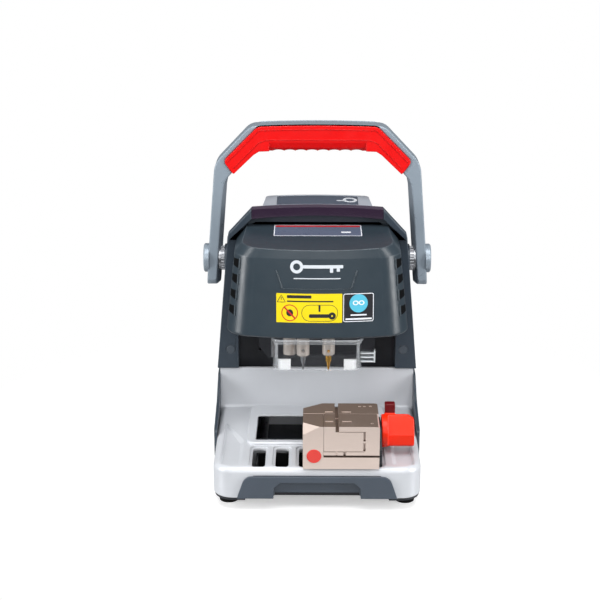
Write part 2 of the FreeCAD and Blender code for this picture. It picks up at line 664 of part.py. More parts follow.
def head_loft(inset, rear_y, z0):
    grow = (z0 - HEAD_BOTTOM) / 79.0
    low = head_outline(z0, 91.5 - inset - 8.5 * grow, -54.0 + inset, 67.0 - inset,
                       -88.0 + 12.0 * grow + inset, rear_y)
    brow = head_outline(236.0 - 0.4 * inset, 83.0 - inset, -46.0 + inset, 61.0 - inset,
                        -76.0 + inset, rear_y)
    crown = head_outline(252.0 - 0.4 * inset, 70.5 - inset, -41.0 + inset, 52.0 - inset,
                         -72.5 + inset, rear_y)
    loft = Part.makeLoft([low, brow, crown], True, True)
    top_cut = prism_x([
        (-120.0, 243.0 - inset), (-76.0, 244.2 - inset), (20.0, 250.5 - inset),
        (20.0, 270.0), (-120.0, 270.0),
    ], -120, 120)
    return loft.cut(top_cut)


def head_cover():
    outer = head_loft(0.0, HEAD_REAR_Y, HEAD_BOTTOM)
    bottom = [e for e in outer.Edges if e.BoundBox.ZMax < HEAD_BOTTOM + 0.01 and e.BoundBox.YMin < 0]
    outer = outer.makeFillet(2.4, bottom)
    room = head_loft(HEAD_WALL, HEAD_REAR_Y + 5, HEAD_BOTTOM - 2)
    cover = outer.cut(room)
    vents = []
    for side in (-1, 1):
        for z in (181.0, 196.5, 212.0, 227.5):
            slot = box(-30, 30, -52, -32, z - 2.6, z + 2.6)
            slot = round_edges(slot, 2.5, X_AXIS)
            slot.rotate(V(0, -42, z), X_AXIS, -14)
            slot.translate(V(side * 105, 0, 0))
            vents.append(slot)
    return cover.cut(Part.makeCompound(vents))


def head_floor():
    floor = head_loft(HEAD_WALL + 0.05, 2.0, HEAD_BOTTOM - 2).common(
        box(-100, 100, -100, 0.0, HEAD_BOTTOM + 0.4, HEAD_BOTTOM + 3.4))
    tail = box(-60, 60, 0.0, 16.0, HEAD_BOTTOM + 0.4, HEAD_BOTTOM + 3.4)
    ears = [box(x - 4, x + 4, 12.0, 16.0, HEAD_BOTTOM + 3.4, 200.0) for x in (-50, 50)]
    floor = floor.multiFuse([tail] + ears).removeSplitter()
    cuts = [
        rod(10.0, (CUTTER_X, TOOL_Y, 150), Z_AXIS, 20),
        rod(7.5 + FIT, (PROBE_X, TOOL_Y, 150), Z_AXIS, 20),
        rod(6.5 + FIT, (LIGHT_X, TOOL_Y + 14, 150), Z_AXIS, 20),
    ]
    return floor.cut(Part.makeCompound(cuts))


def spindle_housing():
    body = rod(13.0, (CUTTER_X, TOOL_Y + 3, HEAD_BOTTOM + 3.4), Z_AXIS, 46.0)
    flange = box(CUTTER_X - 15, CUTTER_X + 15, TOOL_Y - 7, TOOL_Y + 19, HEAD_BOTTOM + 3.4, HEAD_BOTTOM + 9)
    bore = rod(8.0, (CUTTER_X, TOOL_Y, HEAD_BOTTOM), Z_AXIS, 60)
    return body.fuse(flange).cut(bore)


def spindle_bearings():
    bearings = [tube(8.0, 4.0 + RUN, (CUTTER_X, TOOL_Y, z), Z_AXIS, 6) for z in (161.5, 199.0)]
    return Part.makeCompound(bearings)


def spindle_shaft():
    shaft = rod(4.0, (CUTTER_X, TOOL_Y, 157.5), Z_AXIS, 68)
    pulley = tube(SPINDLE_PULLEY_R, 4.0, (CUTTER_X, TOOL_Y, 212), Z_AXIS, 9)
    flanges = [tube(SPINDLE_PULLEY_R + 1, 4.0, (CUTTER_X, TOOL_Y, z), Z_AXIS, 1.0) for z in (211.0, 221.0)]
    return shaft.multiFuse([pulley] + flanges)


def cutter_collet():
    nose = rod(6.4, (CUTTER_X, TOOL_Y, 133.4), Z_AXIS, 24.1)
    tip = [e for e in nose.Edges if e.BoundBox.ZMax < 133.5]
    nose = nose.makeChamfer(1.6, tip)
    cuts = [
        rod(1.6, (CUTTER_X, TOOL_Y - 10, 139.0), Y_AXIS, 20),
        rod(2.0, (CUTTER_X, TOOL_Y, 133.0), Z_AXIS, 16),
        tube(7.0, 5.9, (CUTTER_X, TOOL_Y, 146.5), Z_AXIS, 1.2),
    ]
    return nose.cut(Part.makeCompound(cuts))


def cutter():
    shank = rod(2.0, (CUTTER_X, TOOL_Y, 126.0), Z_AXIS, 20)
    collar = rod(3.0, (CUTTER_X, TOOL_Y, 126.5), Z_AXIS, 6.5)
    point = Part.makeCone(0.7, 2.0, 9.6, V(CUTTER_X, TOOL_Y, TIP_Z), Z_AXIS)
    return shank.multiFuse([collar, point])


def probe_holder():
    nose = rod(6.5, (PROBE_X, TOOL_Y, 132.8), Z_AXIS, 28.0)
    tip = [e for e in nose.Edges if e.BoundBox.ZMax < 132.9]
    nose = nose.makeChamfer(1.2, tip)
    body = rod(7.5, (PROBE_X, TOOL_Y, HEAD_BOTTOM + 0.4), Z_AXIS, 24)
    shape = nose.fuse(body)
    cuts = [
        rod(1.8, (PROBE_X, TOOL_Y - 10, 139.5), Y_AXIS, 20),
        rod(1.5, (PROBE_X, TOOL_Y, 132.0), Z_AXIS, 18),
        tube(7.4, 6.0, (PROBE_X, TOOL_Y, 148.5), Z_AXIS, 1.0),
    ]
    return shape.cut(Part.makeCompound(cuts))


def probe_tip():
    shank = rod(1.5, (PROBE_X, TOOL_Y, 129.0), Z_AXIS, 18)
    body = rod(2.6, (PROBE_X, TOOL_Y, 128.5), Z_AXIS, 4.0)
    taper = Part.makeCone(0.9, 2.6, 7.0, V(PROBE_X, TOOL_Y, 121.5), Z_AXIS)
    needle = rod(0.9, (PROBE_X, TOOL_Y, TIP_Z), Z_AXIS, 6.0)
    return shank.multiFuse([body, taper, needle])


def work_light():
    lamp = rod(6.5, (LIGHT_X, TOOL_Y + 14, 129.5), Z_AXIS, 40)
    mouth = rod(5.2, (LIGHT_X, TOOL_Y + 14, 128.5), Z_AXIS, 2.5)
    return lamp.cut(mouth)


def spindle_motor():
    can = rod(17.0, (MOTOR_X, MOTOR_Y, HEAD_BOTTOM + 3.4), Z_AXIS, 44)
    top = [e for e in can.Edges if e.BoundBox.ZMin > HEAD_BOTTOM + 47]
    can = can.makeFillet(2.0, top)
    boss = rod(5.0, (MOTOR_X, MOTOR_Y, HEAD_BOTTOM + 47.4), Z_AXIS, 2)
    bore = rod(2.0 + RUN, (MOTOR_X, MOTOR_Y, HEAD_BOTTOM + 30), Z_AXIS, 25)
    return can.fuse(boss).cut(bore)


def motor_pulley():
    shaft = rod(2.0, (MOTOR_X, MOTOR_Y, HEAD_BOTTOM + 31), Z_AXIS, 35)
    wheel = rod(MOTOR_PULLEY_R, (MOTOR_X, MOTOR_Y, 212.0), Z_AXIS, 9)
    flanges = [rod(MOTOR_PULLEY_R + 1, (MOTOR_X, MOTOR_Y, z), Z_AXIS, 1.0) for z in (211.0, 221.0)]
    return shaft.multiFuse([wheel] + flanges)


def belt_loop(extra):
    """Solid outline of the belt path: two round ends joined by their tangents."""
    small = V(CUTTER_X, TOOL_Y, 212.8)
    big = V(MOTOR_X, MOTOR_Y, 212.8)
    big_r = MOTOR_PULLEY_R + RUN + extra
    small_r = SPINDLE_PULLEY_R + RUN + extra
    line = small - big
    base = math.atan2(line.y, line.x)
    lean = math.acos((big_r - small_r) / line.Length)
    outline = []
    for sign in (1, -1):
        angle = base + sign * lean
        ray = V(math.cos(angle), math.sin(angle), 0)
        outline.append((big + ray * big_r, small + ray * small_r))
    middle = Part.Face(Part.makePolygon([
        outline[0][0], outline[0][1], outline[1][1], outline[1][0], outline[0][0],
    ])).extrude(V(0, 0, 7.4))
    ends = [rod(big_r, big, Z_AXIS, 7.4), rod(small_r, small, Z_AXIS, 7.4)]
    return middle.multiFuse(ends).removeSplitter()


def drive_belt():
    return belt_loop(1.0).cut(belt_loop(0.0))


def tool_guard():
    outline = mirrored([(36.5, -86.0), (43.5, -79.0), (44.5, -44.0)])
    inner = mirrored([(35.7, -84.0), (41.5, -78.2), (42.5, -43.0)])
    skirt = prism_z(outline, 123.3, 153.5).cut(prism_z(inner, 122.0, 155.0))
    flange = prism_z(mirrored([(40.0, -87.5), (46.0, -81.5), (46.0, -44.0)]), 153.5, 155.5)
    flange = flange.cut(prism_z(inner, 150.0, 157.0))
    tab = box(43.2, 58.5, -70.0, -64.0, 126.0, 139.0)
    tab = round_edges(tab, 2.0, Y_AXIS)
    barrel = rod(3.6, (-45.5, -43.5, 123.3), Z_AXIS, 33.2)
    knuckle = box(-46.0, -43.0, -47.0, -44.0, 123.3, 155.5)
    guard = skirt.multiFuse([flange, tab, barrel, knuckle])
    return guard.cut(rod(1.5 + RUN, (-45.5, -43.5, 120), Z_AXIS, 40))


def guard_hinge():
    return rod(1.5, (-45.5, -43.5, 122.5), Z_AXIS, HEAD_BOTTOM + 0.4 - 122.5)


def guard_pads():
    pad = prism_z([(26.5, -83.9), (35.0, -83.9), (39.5, -79.0), (26.5, -79.0)], 123.5, 133.5)
    return both_sides(pad)


# --- X-Y stage under the tray -------------------------------------------------

def y_guide_rods():
    return both_sides(rod(Y_ROD_R, (Y_ROD_X, BAY_WALL_Y, Y_ROD_Z), Y_AXIS, 126.0))


def y_motor():
    can = rod(6.8, (0, 34.0, Y_ROD_Z), Y_AXIS, 24)
    return can.cut(rod(SCREW_R + RUN, (0, 33.0, Y_ROD_Z), Y_AXIS, 12))


def y_lead_screw():
    return rod(SCREW_R, (0, BAY_WALL_Y + 0.5, Y_ROD_Z), Y_AXIS, 135.0)


def y_saddle():
    plate = box(-68.0, 68.0, SADDLE_FRONT, SADDLE_REAR, PAN_TOP + 0.5, 28.4)
    ends = [box(side * 69.0 - 4, side * 69.0 + 4, SADDLE_FRONT, SADDLE_REAR, PAN_TOP + 0.5, 41.0)
            for side in (-1, 1)]
    body = plate.multiFuse(ends).removeSplitter()
    cuts = []
    for side in (-1, 1):
        cuts.append(rod(5.5, (side * Y_ROD_X, SADDLE_FRONT - 1, Y_ROD_Z), Y_AXIS, 40))
    for y in X_ROD_YS:
        cuts.append(rod(X_ROD_R + FIT, (-80.0, y, X_ROD_Z), X_AXIS, 160))
    cuts.append(rod(SCREW_R + RUN, (-80.0, CENTRE_Y, X_ROD_Z), X_AXIS, 160))
    cuts.append(rod(SCREW_R + RUN, (0, SADDLE_FRONT - 1, Y_ROD_Z), Y_AXIS, 40))
    return body.cut(Part.makeCompound(cuts))


def y_bushes():
    solids = []
    for y in (SADDLE_FRONT, SADDLE_REAR - 12):
        pair = both_sides(tube(5.5, Y_ROD_R + RUN, (Y_ROD_X, y, Y_ROD_Z), Y_AXIS, 12))
        solids += pair.Solids
    return Part.makeCompound(solids)


def x_guide_rods():
    return Part.makeCompound([rod(X_ROD_R, (-73.0, y, X_ROD_Z), X_AXIS, 146.0) for y in X_ROD_YS])


def x_motor():
    can = rod(7.4, (-94.0, CENTRE_Y, X_ROD_Z), X_AXIS, 21.0)
    return can.cut(rod(SCREW_R + RUN, (-83.0, CENTRE_Y, X_ROD_Z), X_AXIS, 12))


def x_lead_screw():
    return rod(SCREW_R, (-82.0, CENTRE_Y, X_ROD_Z), X_AXIS, 154.0)


def x_table():
    middle = (CLAMP_X0 + CLAMP_X1) / 2
    block = box(middle - 24, middle + 24, -87.0, -53.0, 28.6, 41.0)
    column = box(middle - 19, middle + 19, -86.0, -74.0, 41.0, 80.0)
    seat = box(middle - 19, middle + 19, CLAMP_Y1, -86.0, CLAMP_Z0, 80.0)
    body = block.multiFuse([column, seat])
    cuts = [rod(4.5, (middle - 30, y, X_ROD_Z), X_AXIS, 60) for y in X_ROD_YS]
    cuts.append(rod(SCREW_R + RUN, (middle - 30, CENTRE_Y, X_ROD_Z), X_AXIS, 60))
    return body.cut(Part.makeCompound(cuts)).removeSplitter()


def x_bushes():
    middle = (CLAMP_X0 + CLAMP_X1) / 2
    bushes = [tube(4.5, X_ROD_R + RUN, (x, y, X_ROD_Z), X_AXIS, 10)
              for y in X_ROD_YS for x in (middle - 24, middle + 14)]
    return Part.makeCompound(bushes)


# --- Key clamp ----------------------------------------------------------------

def jaw_block(gap):
    return box(JAW_X0 - gap, CLAMP_X1 + 1, CLAMP_Y0 - 1, JAW_BACK + gap, JAW_Z0 - gap, CLAMP_TOP + 1)


def corner_facet():
    """Slanted facet off the top front left corner of the clamp."""
    corners = [V(2.3, CLAMP_Y0, CLAMP_TOP), V(CLAMP_X0, CLAMP_Y0, 83.1), V(CLAMP_X0, -141.4, CLAMP_TOP)]
    centre = (corners[0] + corners[1] + corners[2]) * (1 / 3)
    wide = [centre + (corner - centre) * 3 for corner in corners]
    face = Part.Face(Part.makePolygon(wide + wide[:1]))
    outward = (corners[1] - corners[0]).cross(corners[2] - corners[0]).normalize()
    if outward.z < 0:
        outward = outward * -1
    return face.extrude(outward * 15)


def clamp_body():
    body = box(CLAMP_X0, CLAMP_X1, CLAMP_Y0, CLAMP_Y1, CLAMP_Z0, CLAMP_TOP)
    skirt = box(CLAMP_X0, CLAMP_X1, CLAMP_Y0, CLAMP_Y0 + 7, SKIRT_Z0, CLAMP_Z0 + 1)
    body = body.fuse(skirt).removeSplitter()
    rear_corner = prism_z([(CLAMP_X0 - 1, CLAMP_Y1 + 1), (6.3, CLAMP_Y1 + 1), (5.0, CLAMP_Y1),
                           (CLAMP_X0, -106.0), (CLAMP_X0 - 1, -107.0)], CLAMP_Z0 - 1, CLAMP_TOP + 1)
    split = box(CLAMP_X0 - 1, JAW_X0 + 1, JAW_BACK, JAW_BACK + 1.2, CLAMP_TOP - 3.0, CLAMP_TOP + 1)
    stop = box(17.4, 20.8, JAW_BACK - 1, CLAMP_Y1 + 1, CLAMP_TOP - 4.5, CLAMP_TOP + 1)
    shaft = rod(4.0 + RUN, (CLAMP_X0 + 8, KNOB_Y, KNOB_Z), X_AXIS, 100)
    badge = rod(7.1, (-3.2, CLAMP_Y0 - 1, 60.8), Y_AXIS, 1.8)
    under_jaw = box(JAW_X0 - 0.3, CLAMP_X1 + 1, CLAMP_Y0 - 1, CLAMP_Y0 + 7, JAW_Z0 - 2.2, JAW_Z0)
    cuts = [jaw_block(0.3), corner_facet(), rear_corner, split, stop, shaft, badge, under_jaw]
    for x, y in ((52.8, -100.6), (42.0, -101.1), (47.0, -101.1)):
        cuts.append(rod(1.4, (x, y, CLAMP_TOP - 3), Z_AXIS, 5))
    for x0, x1 in ((7.6, 15.4), (24.0, 33.0)):
        cuts.append(box(x0, x1, JAW_BACK + 1.4, JAW_BACK + 6.0, CLAMP_TOP - 0.8, CLAMP_TOP + 1))
    body = body.cut(Part.makeCompound(cuts))
    return round_edges(body, 3.0, Z_AXIS, lambda c: c.x > CLAMP_X1 - 0.1 and c.y > CLAMP_Y1 - 0.1)


def clamp_jaw():
    jaw = box(JAW_X0, CLAMP_X1, CLAMP_Y0, JAW_BACK, JAW_Z0, CLAMP_TOP)
    jaw = round_edges(jaw, 2.4, Y_AXIS, lambda c: c.x > CLAMP_X1 - 0.1 and c.z > CLAMP_TOP - 0.1)
    face = CLAMP_Y0 + 0.8
    cuts = [
        box(17.4, 20.8, CLAMP_Y0 - 1, JAW_BACK + 1, CLAMP_TOP - 5.5, CLAMP_TOP + 1),
        box(20.8, 45.0, CLAMP_Y0 - 1, face, 85.7, 86.5),
        box(JAW_X0 - 1, 45.0, CLAMP_Y0 - 1, face, 65.2, 66.0),
        box(44.2, 46.4, CLAMP_Y0 - 1, CLAMP_Y0 + 4, 66.0, 74.6),
        box(44.2, 46.4, CLAMP_Y0 - 1, CLAMP_Y0 + 4, 76.4, 86.5),
        box(25.2, 27.4, CLAMP_Y0 - 1, CLAMP_Y0 + 4, JAW_Z0 - 1, 65.2),
        box(17.8, 19.4, CLAMP_Y0 - 1, face, JAW_Z0 - 1, 65.2),
        rod(1.4, (52.6, -143.5, CLAMP_TOP - 3), Z_AXIS, 5),
    ]
    for x0, x1 in ((7.6, 15.4), (24.0, 33.0)):
        cuts.append(box(x0, x1, -142.6, -137.6, CLAMP_TOP - 0.8, CLAMP_TOP + 1))
    return jaw.cut(Part.makeCompound(cuts))


def clamp_badge():
    disc = rod(7.0, (-3.2, CLAMP_Y0 - 0.5, 60.8), Y_AXIS, 1.3)
    rim = [e for e in disc.Edges if e.BoundBox.YMax < CLAMP_Y0 - 0.4]
    return disc.makeFillet(0.35, rim)


def clamp_screw():
    return rod(4.0, (CLAMP_X0 + 9, KNOB_Y, KNOB_Z), X_AXIS, 80.0)


def clamp_bracket():
    plate = prism_x([
        (-150.0, CLAMP_Z0), (-150.0, 66.0), (-128.0, 80.0), (-100.0, 80.0), (-100.0, CLAMP_Z0),
    ], CLAMP_X1, CLAMP_X1 + 2.6)
    return plate.cut(rod(4.0 + RUN, (CLAMP_X1 - 1, KNOB_Y, KNOB_Z), X_AXIS, 5))


def clamp_knob():
    flange = rod(16.4, (63.4, KNOB_Y, KNOB_Z), X_AXIS, 6.4)
    edge = [e for e in flange.Edges if e.Curve.TypeId == "Part::GeomCircle"]
    flange = flange.makeFillet(1.2, edge)
    wing = prism_x([
        (KNOB_Y + 6.5, KNOB_Z + 15.2), (KNOB_Y + 2.5, KNOB_Z + 16.0), (KNOB_Y - 8.5, KNOB_Z - 1.5),
        (KNOB_Y - 8.5, KNOB_Z - 12.0), (KNOB_Y - 5.5, KNOB_Z - 14.5), (KNOB_Y + 8.5, KNOB_Z - 14.0),
        (KNOB_Y + 9.5, KNOB_Z + 4.0),
    ], 66.0, 95.8)
    wing = round_edges(wing, 1.8, X_AXIS)
    tip = prism_y([(95.9, KNOB_Z + 30), (95.9, KNOB_Z + 11), (88.0, KNOB_Z + 17), (84.0, KNOB_Z + 30)],
                  KNOB_Y - 30, KNOB_Y + 30)
    wing = wing.cut(tip)
    lug = box(66.8, 77.0, KNOB_Y + 4.0, KNOB_Y + 12.0, KNOB_Z + 8.0, KNOB_Z + 26.6)
    bore = rod(4.0, (55.0, KNOB_Y, KNOB_Z), X_AXIS, 20.1)
    return flange.multiFuse([wing, lug]).cut(bore)


PARTS = {
    "base_casting": base_casting,
    "base_pan": base_pan,
    "rubber_feet": rubber_feet,
    "side_panel_right": side_panel_right,
    "side_panel_left": lambda: side_panel_right().mirror(V(0, 0, 0), X_AXIS),
    "chip_drawer": chip_drawer,
    "housing_shell": housing_shell,
    "column_plugs": column_plugs,
    "rear_panel": rear_panel,
    "rear_screws": rear_screws,
    "power_button": power_button,
    "power_inlet": power_inlet,
    "usb_port": usb_port,
    "control_board": control_board,
    "top_console": top_console,
    "console_inset": console_inset,
    "brow_window": brow_window,
    "handle_frame": handle_frame,
    "handle_grip": handle_grip,
    "handle_hubs": handle_hubs,
    "handle_caps": handle_caps,
    "handle_pivots": handle_pivots,
    "z_frame": z_frame,
    "z_guide_rods": z_guide_rods,
    "z_motor": z_motor,
    "z_lead_screw": z_lead_screw,
    "z_carriage": z_carriage,
    "z_bushes": z_bushes,
    "head_cover": head_cover,
    "head_floor": head_floor,
    "spindle_housing": spindle_housing,
    "spindle_bearings": spindle_bearings,
    "spindle_shaft": spindle_shaft,
    "cutter_collet": cutter_collet,
    "cutter": cutter,
    "probe_holder": probe_holder,
    "probe_tip": probe_tip,
    "work_light": work_light,
    "spindle_motor": spindle_motor,
    "motor_pulley": motor_pulley,
    "drive_belt": drive_belt,
    "tool_guard": tool_guard,
    "guard_hinge": guard_hinge,
    "guard_pads": guard_pads,
    "y_guide_rods": y_guide_rods,
    "y_motor": y_motor,
    "y_lead_screw": y_lead_screw,
    "y_saddle": y_saddle,
    "y_bushes": y_bushes,
    "x_guide_rods": x_guide_rods,
    "x_motor": x_motor,
    "x_lead_screw": x_lead_screw,
    "x_table": x_table,
    "x_bushes": x_bushes,
    "clamp_body": clamp_body,
    "clamp_jaw": clamp_jaw,
    "clamp_badge": clamp_badge,
    "clamp_screw": clamp_screw,
    "clamp_bracket": clamp_bracket,
    "clamp_knob": clamp_knob,
}

os.makedirs("parts", exist_ok=True)
for part_name, make in PARTS.items():
    save(part_name, make())
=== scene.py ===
"""Looks of a key duplicating machine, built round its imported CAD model.

The frame is the CAD model's, in metres: +X is the operator's right, +Y the back and +Z up.
Sizes below are written in millimetres and turned into metres with MM, except on the stage.
"""

import math

import bmesh
import bpy
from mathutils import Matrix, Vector
from mathutils.bvhtree import BVHTree


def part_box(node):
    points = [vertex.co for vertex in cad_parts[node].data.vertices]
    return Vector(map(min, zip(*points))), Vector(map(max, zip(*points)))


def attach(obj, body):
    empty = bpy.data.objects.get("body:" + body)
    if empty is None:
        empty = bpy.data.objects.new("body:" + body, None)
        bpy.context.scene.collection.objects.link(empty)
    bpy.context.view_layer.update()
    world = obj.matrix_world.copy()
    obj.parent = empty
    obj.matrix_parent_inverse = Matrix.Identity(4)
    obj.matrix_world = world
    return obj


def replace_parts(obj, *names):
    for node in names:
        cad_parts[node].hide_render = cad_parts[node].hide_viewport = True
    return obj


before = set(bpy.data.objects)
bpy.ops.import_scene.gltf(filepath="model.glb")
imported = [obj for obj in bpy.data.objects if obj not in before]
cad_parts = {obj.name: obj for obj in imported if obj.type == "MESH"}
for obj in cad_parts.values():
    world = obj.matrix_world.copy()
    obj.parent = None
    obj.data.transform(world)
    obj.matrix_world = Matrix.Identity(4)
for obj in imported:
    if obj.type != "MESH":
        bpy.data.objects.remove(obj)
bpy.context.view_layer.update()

MM = 0.001
MATERIALS = {}


# --- Material nodes -----------------------------------------------------------------------------

def rgb(red, green, blue):
    """Scene-linear colour of an sRGB one whose channels run from 0 to 255."""
    linear = []
    for channel in (red, green, blue):
        value = channel / 255
        value = value / 12.92 if value <= 0.04045 else ((value + 0.055) / 1.055) ** 2.4
        linear.append(min(1.0, value))
    return (*linear, 1.0)


class Recipe:
    """A node-based material under construction."""

    def __init__(self, name):
        self.material = bpy.data.materials.new(name)
        self.material.use_nodes = True
        self.tree = self.material.node_tree
        self.shader = self.tree.nodes["Principled BSDF"]
        self.place = self.add("ShaderNodeTexCoord").outputs["Object"]

    def add(self, kind, inputs=None, **settings):
        node = self.tree.nodes.new(kind)
        for key, value in settings.items():
            setattr(node, key, value)
        for key, value in (inputs or {}).items():
            self.put(node.inputs[key], value)
        return node

    def put(self, socket, value):
        if isinstance(value, bpy.types.NodeSocket):
            self.tree.links.new(value, socket)
        else:
            socket.default_value = value

    def set(self, **values):
        """Sets inputs of the main shader; an underscore in a name stands for a space."""
        for key, value in values.items():
            self.put(self.shader.inputs[key.replace("_", " ")], value)

    def noise(self, scale, detail=3.0, stretch=None):
        place = self.place
        if stretch:
            place = self.add("ShaderNodeMapping", {"Vector": place, "Scale": stretch}).outputs[0]
        inputs = {"Vector": place, "Scale": scale, "Detail": detail}
        return self.add("ShaderNodeTexNoise", inputs).outputs[0]

    def remap(self, value, low, high, to_low=0.0, to_high=1.0):
        node = self.add("ShaderNodeMapRange", {0: value, 1: low, 2: high, 3: to_low, 4: to_high})
        return node.outputs[0]

    def spread(self, noise, low, high):
        """Stretches the middle of a noise's range over low to high."""
        return self.remap(noise, 0.3, 0.7, low, high)

    def math(self, operation, first, second):
        return self.add("ShaderNodeMath", {0: first, 1: second}, operation=operation).outputs[0]

    def blend(self, factor, first, second):
        node = self.add("ShaderNodeMix", {0: factor, 6: first, 7: second}, data_type="RGBA")
        return node.outputs[2]

    def facing(self):
        return self.add("ShaderNodeNewGeometry").outputs["Normal"]

    def part_of(self, vector, axis):
        return self.add("ShaderNodeSeparateXYZ", {0: vector}).outputs[axis]

    def rounded(self, radius):
        """Normal of the surface with its edges rounded to a radius in millimetres."""
        return self.add("ShaderNodeBevel", {"Radius": radius * MM}, samples=4).outputs[0]

    def bump(self, height, depth, normal):
        inputs = {"Height": height, "Distance": depth * MM, "Normal": normal}
        return self.add("ShaderNodeBump", inputs).outputs[0]


def surface(name, colour, roughness=0.42, metallic=0.0, vary=0.06, cloud=30.0, grain=2600.0,
            depth=0.012, fleck=0.03, scuff_and_highlight=0.3, edge=0.6, scuff_and_highlight_range=(0.985, 0.8), coat=0.0, level=0.5,
            stretch=None, tint=None):
    """A moulded, painted or machined finish: cloudy tone, fine grain, rounded edges lightened in patches,
    partly as scuffing and partly as painted highlight.

    depth is that of the grain and edge the edges' radius, in millimetres. The pair of
    flatnesses sets where an edge goes from untouched to fully lightened.
    """
    r = Recipe(name)
    base = rgb(*colour)
    if tint:
        base = tint(r, base)
    fine = r.noise(grain, 2.0, stretch)
    cloudy = r.spread(r.noise(cloud, 4.0), 1 - vary, 1 + vary)
    flecks = r.spread(fine, 1 - fleck, 1 + fleck)
    start = base[:3] if isinstance(base, tuple) else base
    tone = r.add("ShaderNodeVectorMath", {0: start}, operation="SCALE")
    r.put(tone.inputs["Scale"], r.math("MULTIPLY", cloudy, flecks))
    # The rounded normal leaves the face's own normal near an edge, which is lightened there in patches:
    # partly scuffing, partly painted highlight.
    soft = r.rounded(edge)
    turned = r.add("ShaderNodeVectorMath", {0: soft, 1: r.facing()}, operation="DOT_PRODUCT")
    scuffed_and_lit = r.remap(turned.outputs["Value"], *scuff_and_highlight_range)
    patchy = r.remap(r.noise(120.0, 3.0), 0.35, 0.6, 0.35, 1.0)
    scuff_and_highlight_share = r.math("MULTIPLY", r.math("MULTIPLY", scuffed_and_lit, patchy), scuff_and_highlight)
    # Painted highlight: edges turn paler, standing in for light caught on rounded edges as well as for
    # scuffing.
    pale = rgb(*[min(255, 60 + 0.85 * channel) for channel in colour])
    r.set(Base_Color=r.blend(scuff_and_highlight_share, tone.outputs[0], pale))
    r.set(Roughness=r.spread(r.noise(cloud * 3, 3.0), roughness * 0.88, roughness * 1.12))
    r.set(Metallic=metallic, Coat_Weight=coat, Coat_Roughness=0.12, Specular_IOR_Level=level)
    r.set(Normal=r.bump(fine, depth, soft))
    MATERIALS[name] = r.material


def brushed(name, colour, roughness, direction, edge):
    """Metal with fine machining lines; direction is the axis (0 to 2) that the lines run along."""
    stretch = [1.0, 1.0, 1.0]
    stretch[direction] = 0.03
    surface(name, colour, roughness, 1.0, stretch=stretch, depth=0.006, edge=edge)


def see_through(name, colour, roughness, weight, edge_colour, ior=1.49, clear=None):
    """Clear or smoked moulded plastic, whose colour turns to a brighter one where it is seen edge on: a
    painted highlight.

    clear is the opacity face on, for plastic that is to show what is behind it undimmed.
    """
    r = Recipe(name)
    smear = r.noise(60.0, 3.0)
    rim = r.add("ShaderNodeLayerWeight", {"Blend": 0.35}).outputs["Facing"]
    # Painted highlight: the colour is blended towards the brighter edge colour where the surface is seen
    # edge on.
    r.set(Base_Color=r.blend(r.remap(rim, 0.55, 1.0), rgb(*colour), rgb(*edge_colour)))
    r.set(Roughness=r.spread(smear, roughness * 0.6, roughness * 1.5))
    r.set(Transmission_Weight=weight, IOR=ior, Specular_IOR_Level=0.6)
    if clear:
        r.set(Alpha=r.remap(rim, 0.45, 0.95, clear, 0.85))
    r.set(Normal=r.bump(smear, 0.02, r.rounded(0.4)))
    MATERIALS[name] = r.material


# --- Tints: parts of one piece in another colour, two of them painted shade -----------------------

def darker_top_faces(r, base):
    """The clamp's upward faces are coloured darker than its sides and slopes."""
    upward = r.remap(r.part_of(r.facing(), 2), 0.85, 0.95)
    return r.blend(upward, base, rgb(118, 102, 92))


def painted_shade_lug(r, base):
    """The knob's upright lug is coloured a darker red: painted shade on a face that lies in shadow."""
    lug_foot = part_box("clamp_knob")[1].z - 9.4 * MM
    above = r.remap(r.part_of(r.place, 2), lug_foot - 0.2 * MM, lug_foot + 0.2 * MM)
    return r.blend(above, base, rgb(92, 2, 9))


def painted_shade_inside(r, base):
    """The drawer is painted near-black behind its front and its finger sill: painted shade inside it."""
    sill_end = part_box("chip_drawer")[0].y + 17.6 * MM
    behind = r.remap(r.part_of(r.place, 1), sill_end - 0.2 * MM, sill_end + 0.2 * MM)
    return r.blend(behind, base, rgb(9, 10, 12))


def board_tracks(r, base):
    """Green board with brighter tracks, and dark parts standing on it."""
    inputs = {"Vector": r.place, "Scale": 120.0, "Mortar Size": 0.06,
              "Color1": base, "Color2": base, "Mortar": rgb(60, 140, 80)}
    track = r.add("ShaderNodeTexBrick", inputs).outputs[0]
    board_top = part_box("control_board")[0].z + 6.6 * MM
    raised = r.remap(r.part_of(r.place, 2), board_top, board_top + 0.1 * MM)
    return r.blend(raised, track, rgb(38, 40, 44))


# --- Finishes -----------------------------------------------------------------------------------

def metals():
    surface("silver_casting", (200, 203, 208), 0.34, 0.12, vary=0.02, fleck=0.05, grain=5200.0,
            scuff_and_highlight=0.35, edge=1.2)
    surface("dark_sheet", (34, 36, 42), 0.5, 0.1, grain=1700.0, depth=0.03)
    surface("handle_metal", (146, 158, 169), 0.3, 0.25, vary=0.03, fleck=0.05, grain=4800.0, edge=1.2)
    surface("motor_steel", (72, 75, 80), 0.38, 0.7, edge=0.5)
    surface("bronze", (176, 132, 72), 0.3, 1.0, edge=0.3)
    surface("nickel", (222, 212, 204), 0.2, 0.45, stretch=(1, 1, 0.03), depth=0.004, edge=0.3)
    surface("clamp_nickel", (214, 197, 187), 0.34, 0.3, vary=0.02, grain=3800.0, depth=0.002,
            fleck=0.02, stretch=(0.05, 1, 1), scuff_and_highlight=0.0, edge=0.1, tint=darker_top_faces)
    brushed("bright_steel", (150, 152, 156), 0.3, 2, 0.3)
    brushed("machined_aluminium", (188, 190, 194), 0.32, 0, 0.4)
    brushed("gold_coating", (214, 164, 74), 0.24, 2, 0.2)


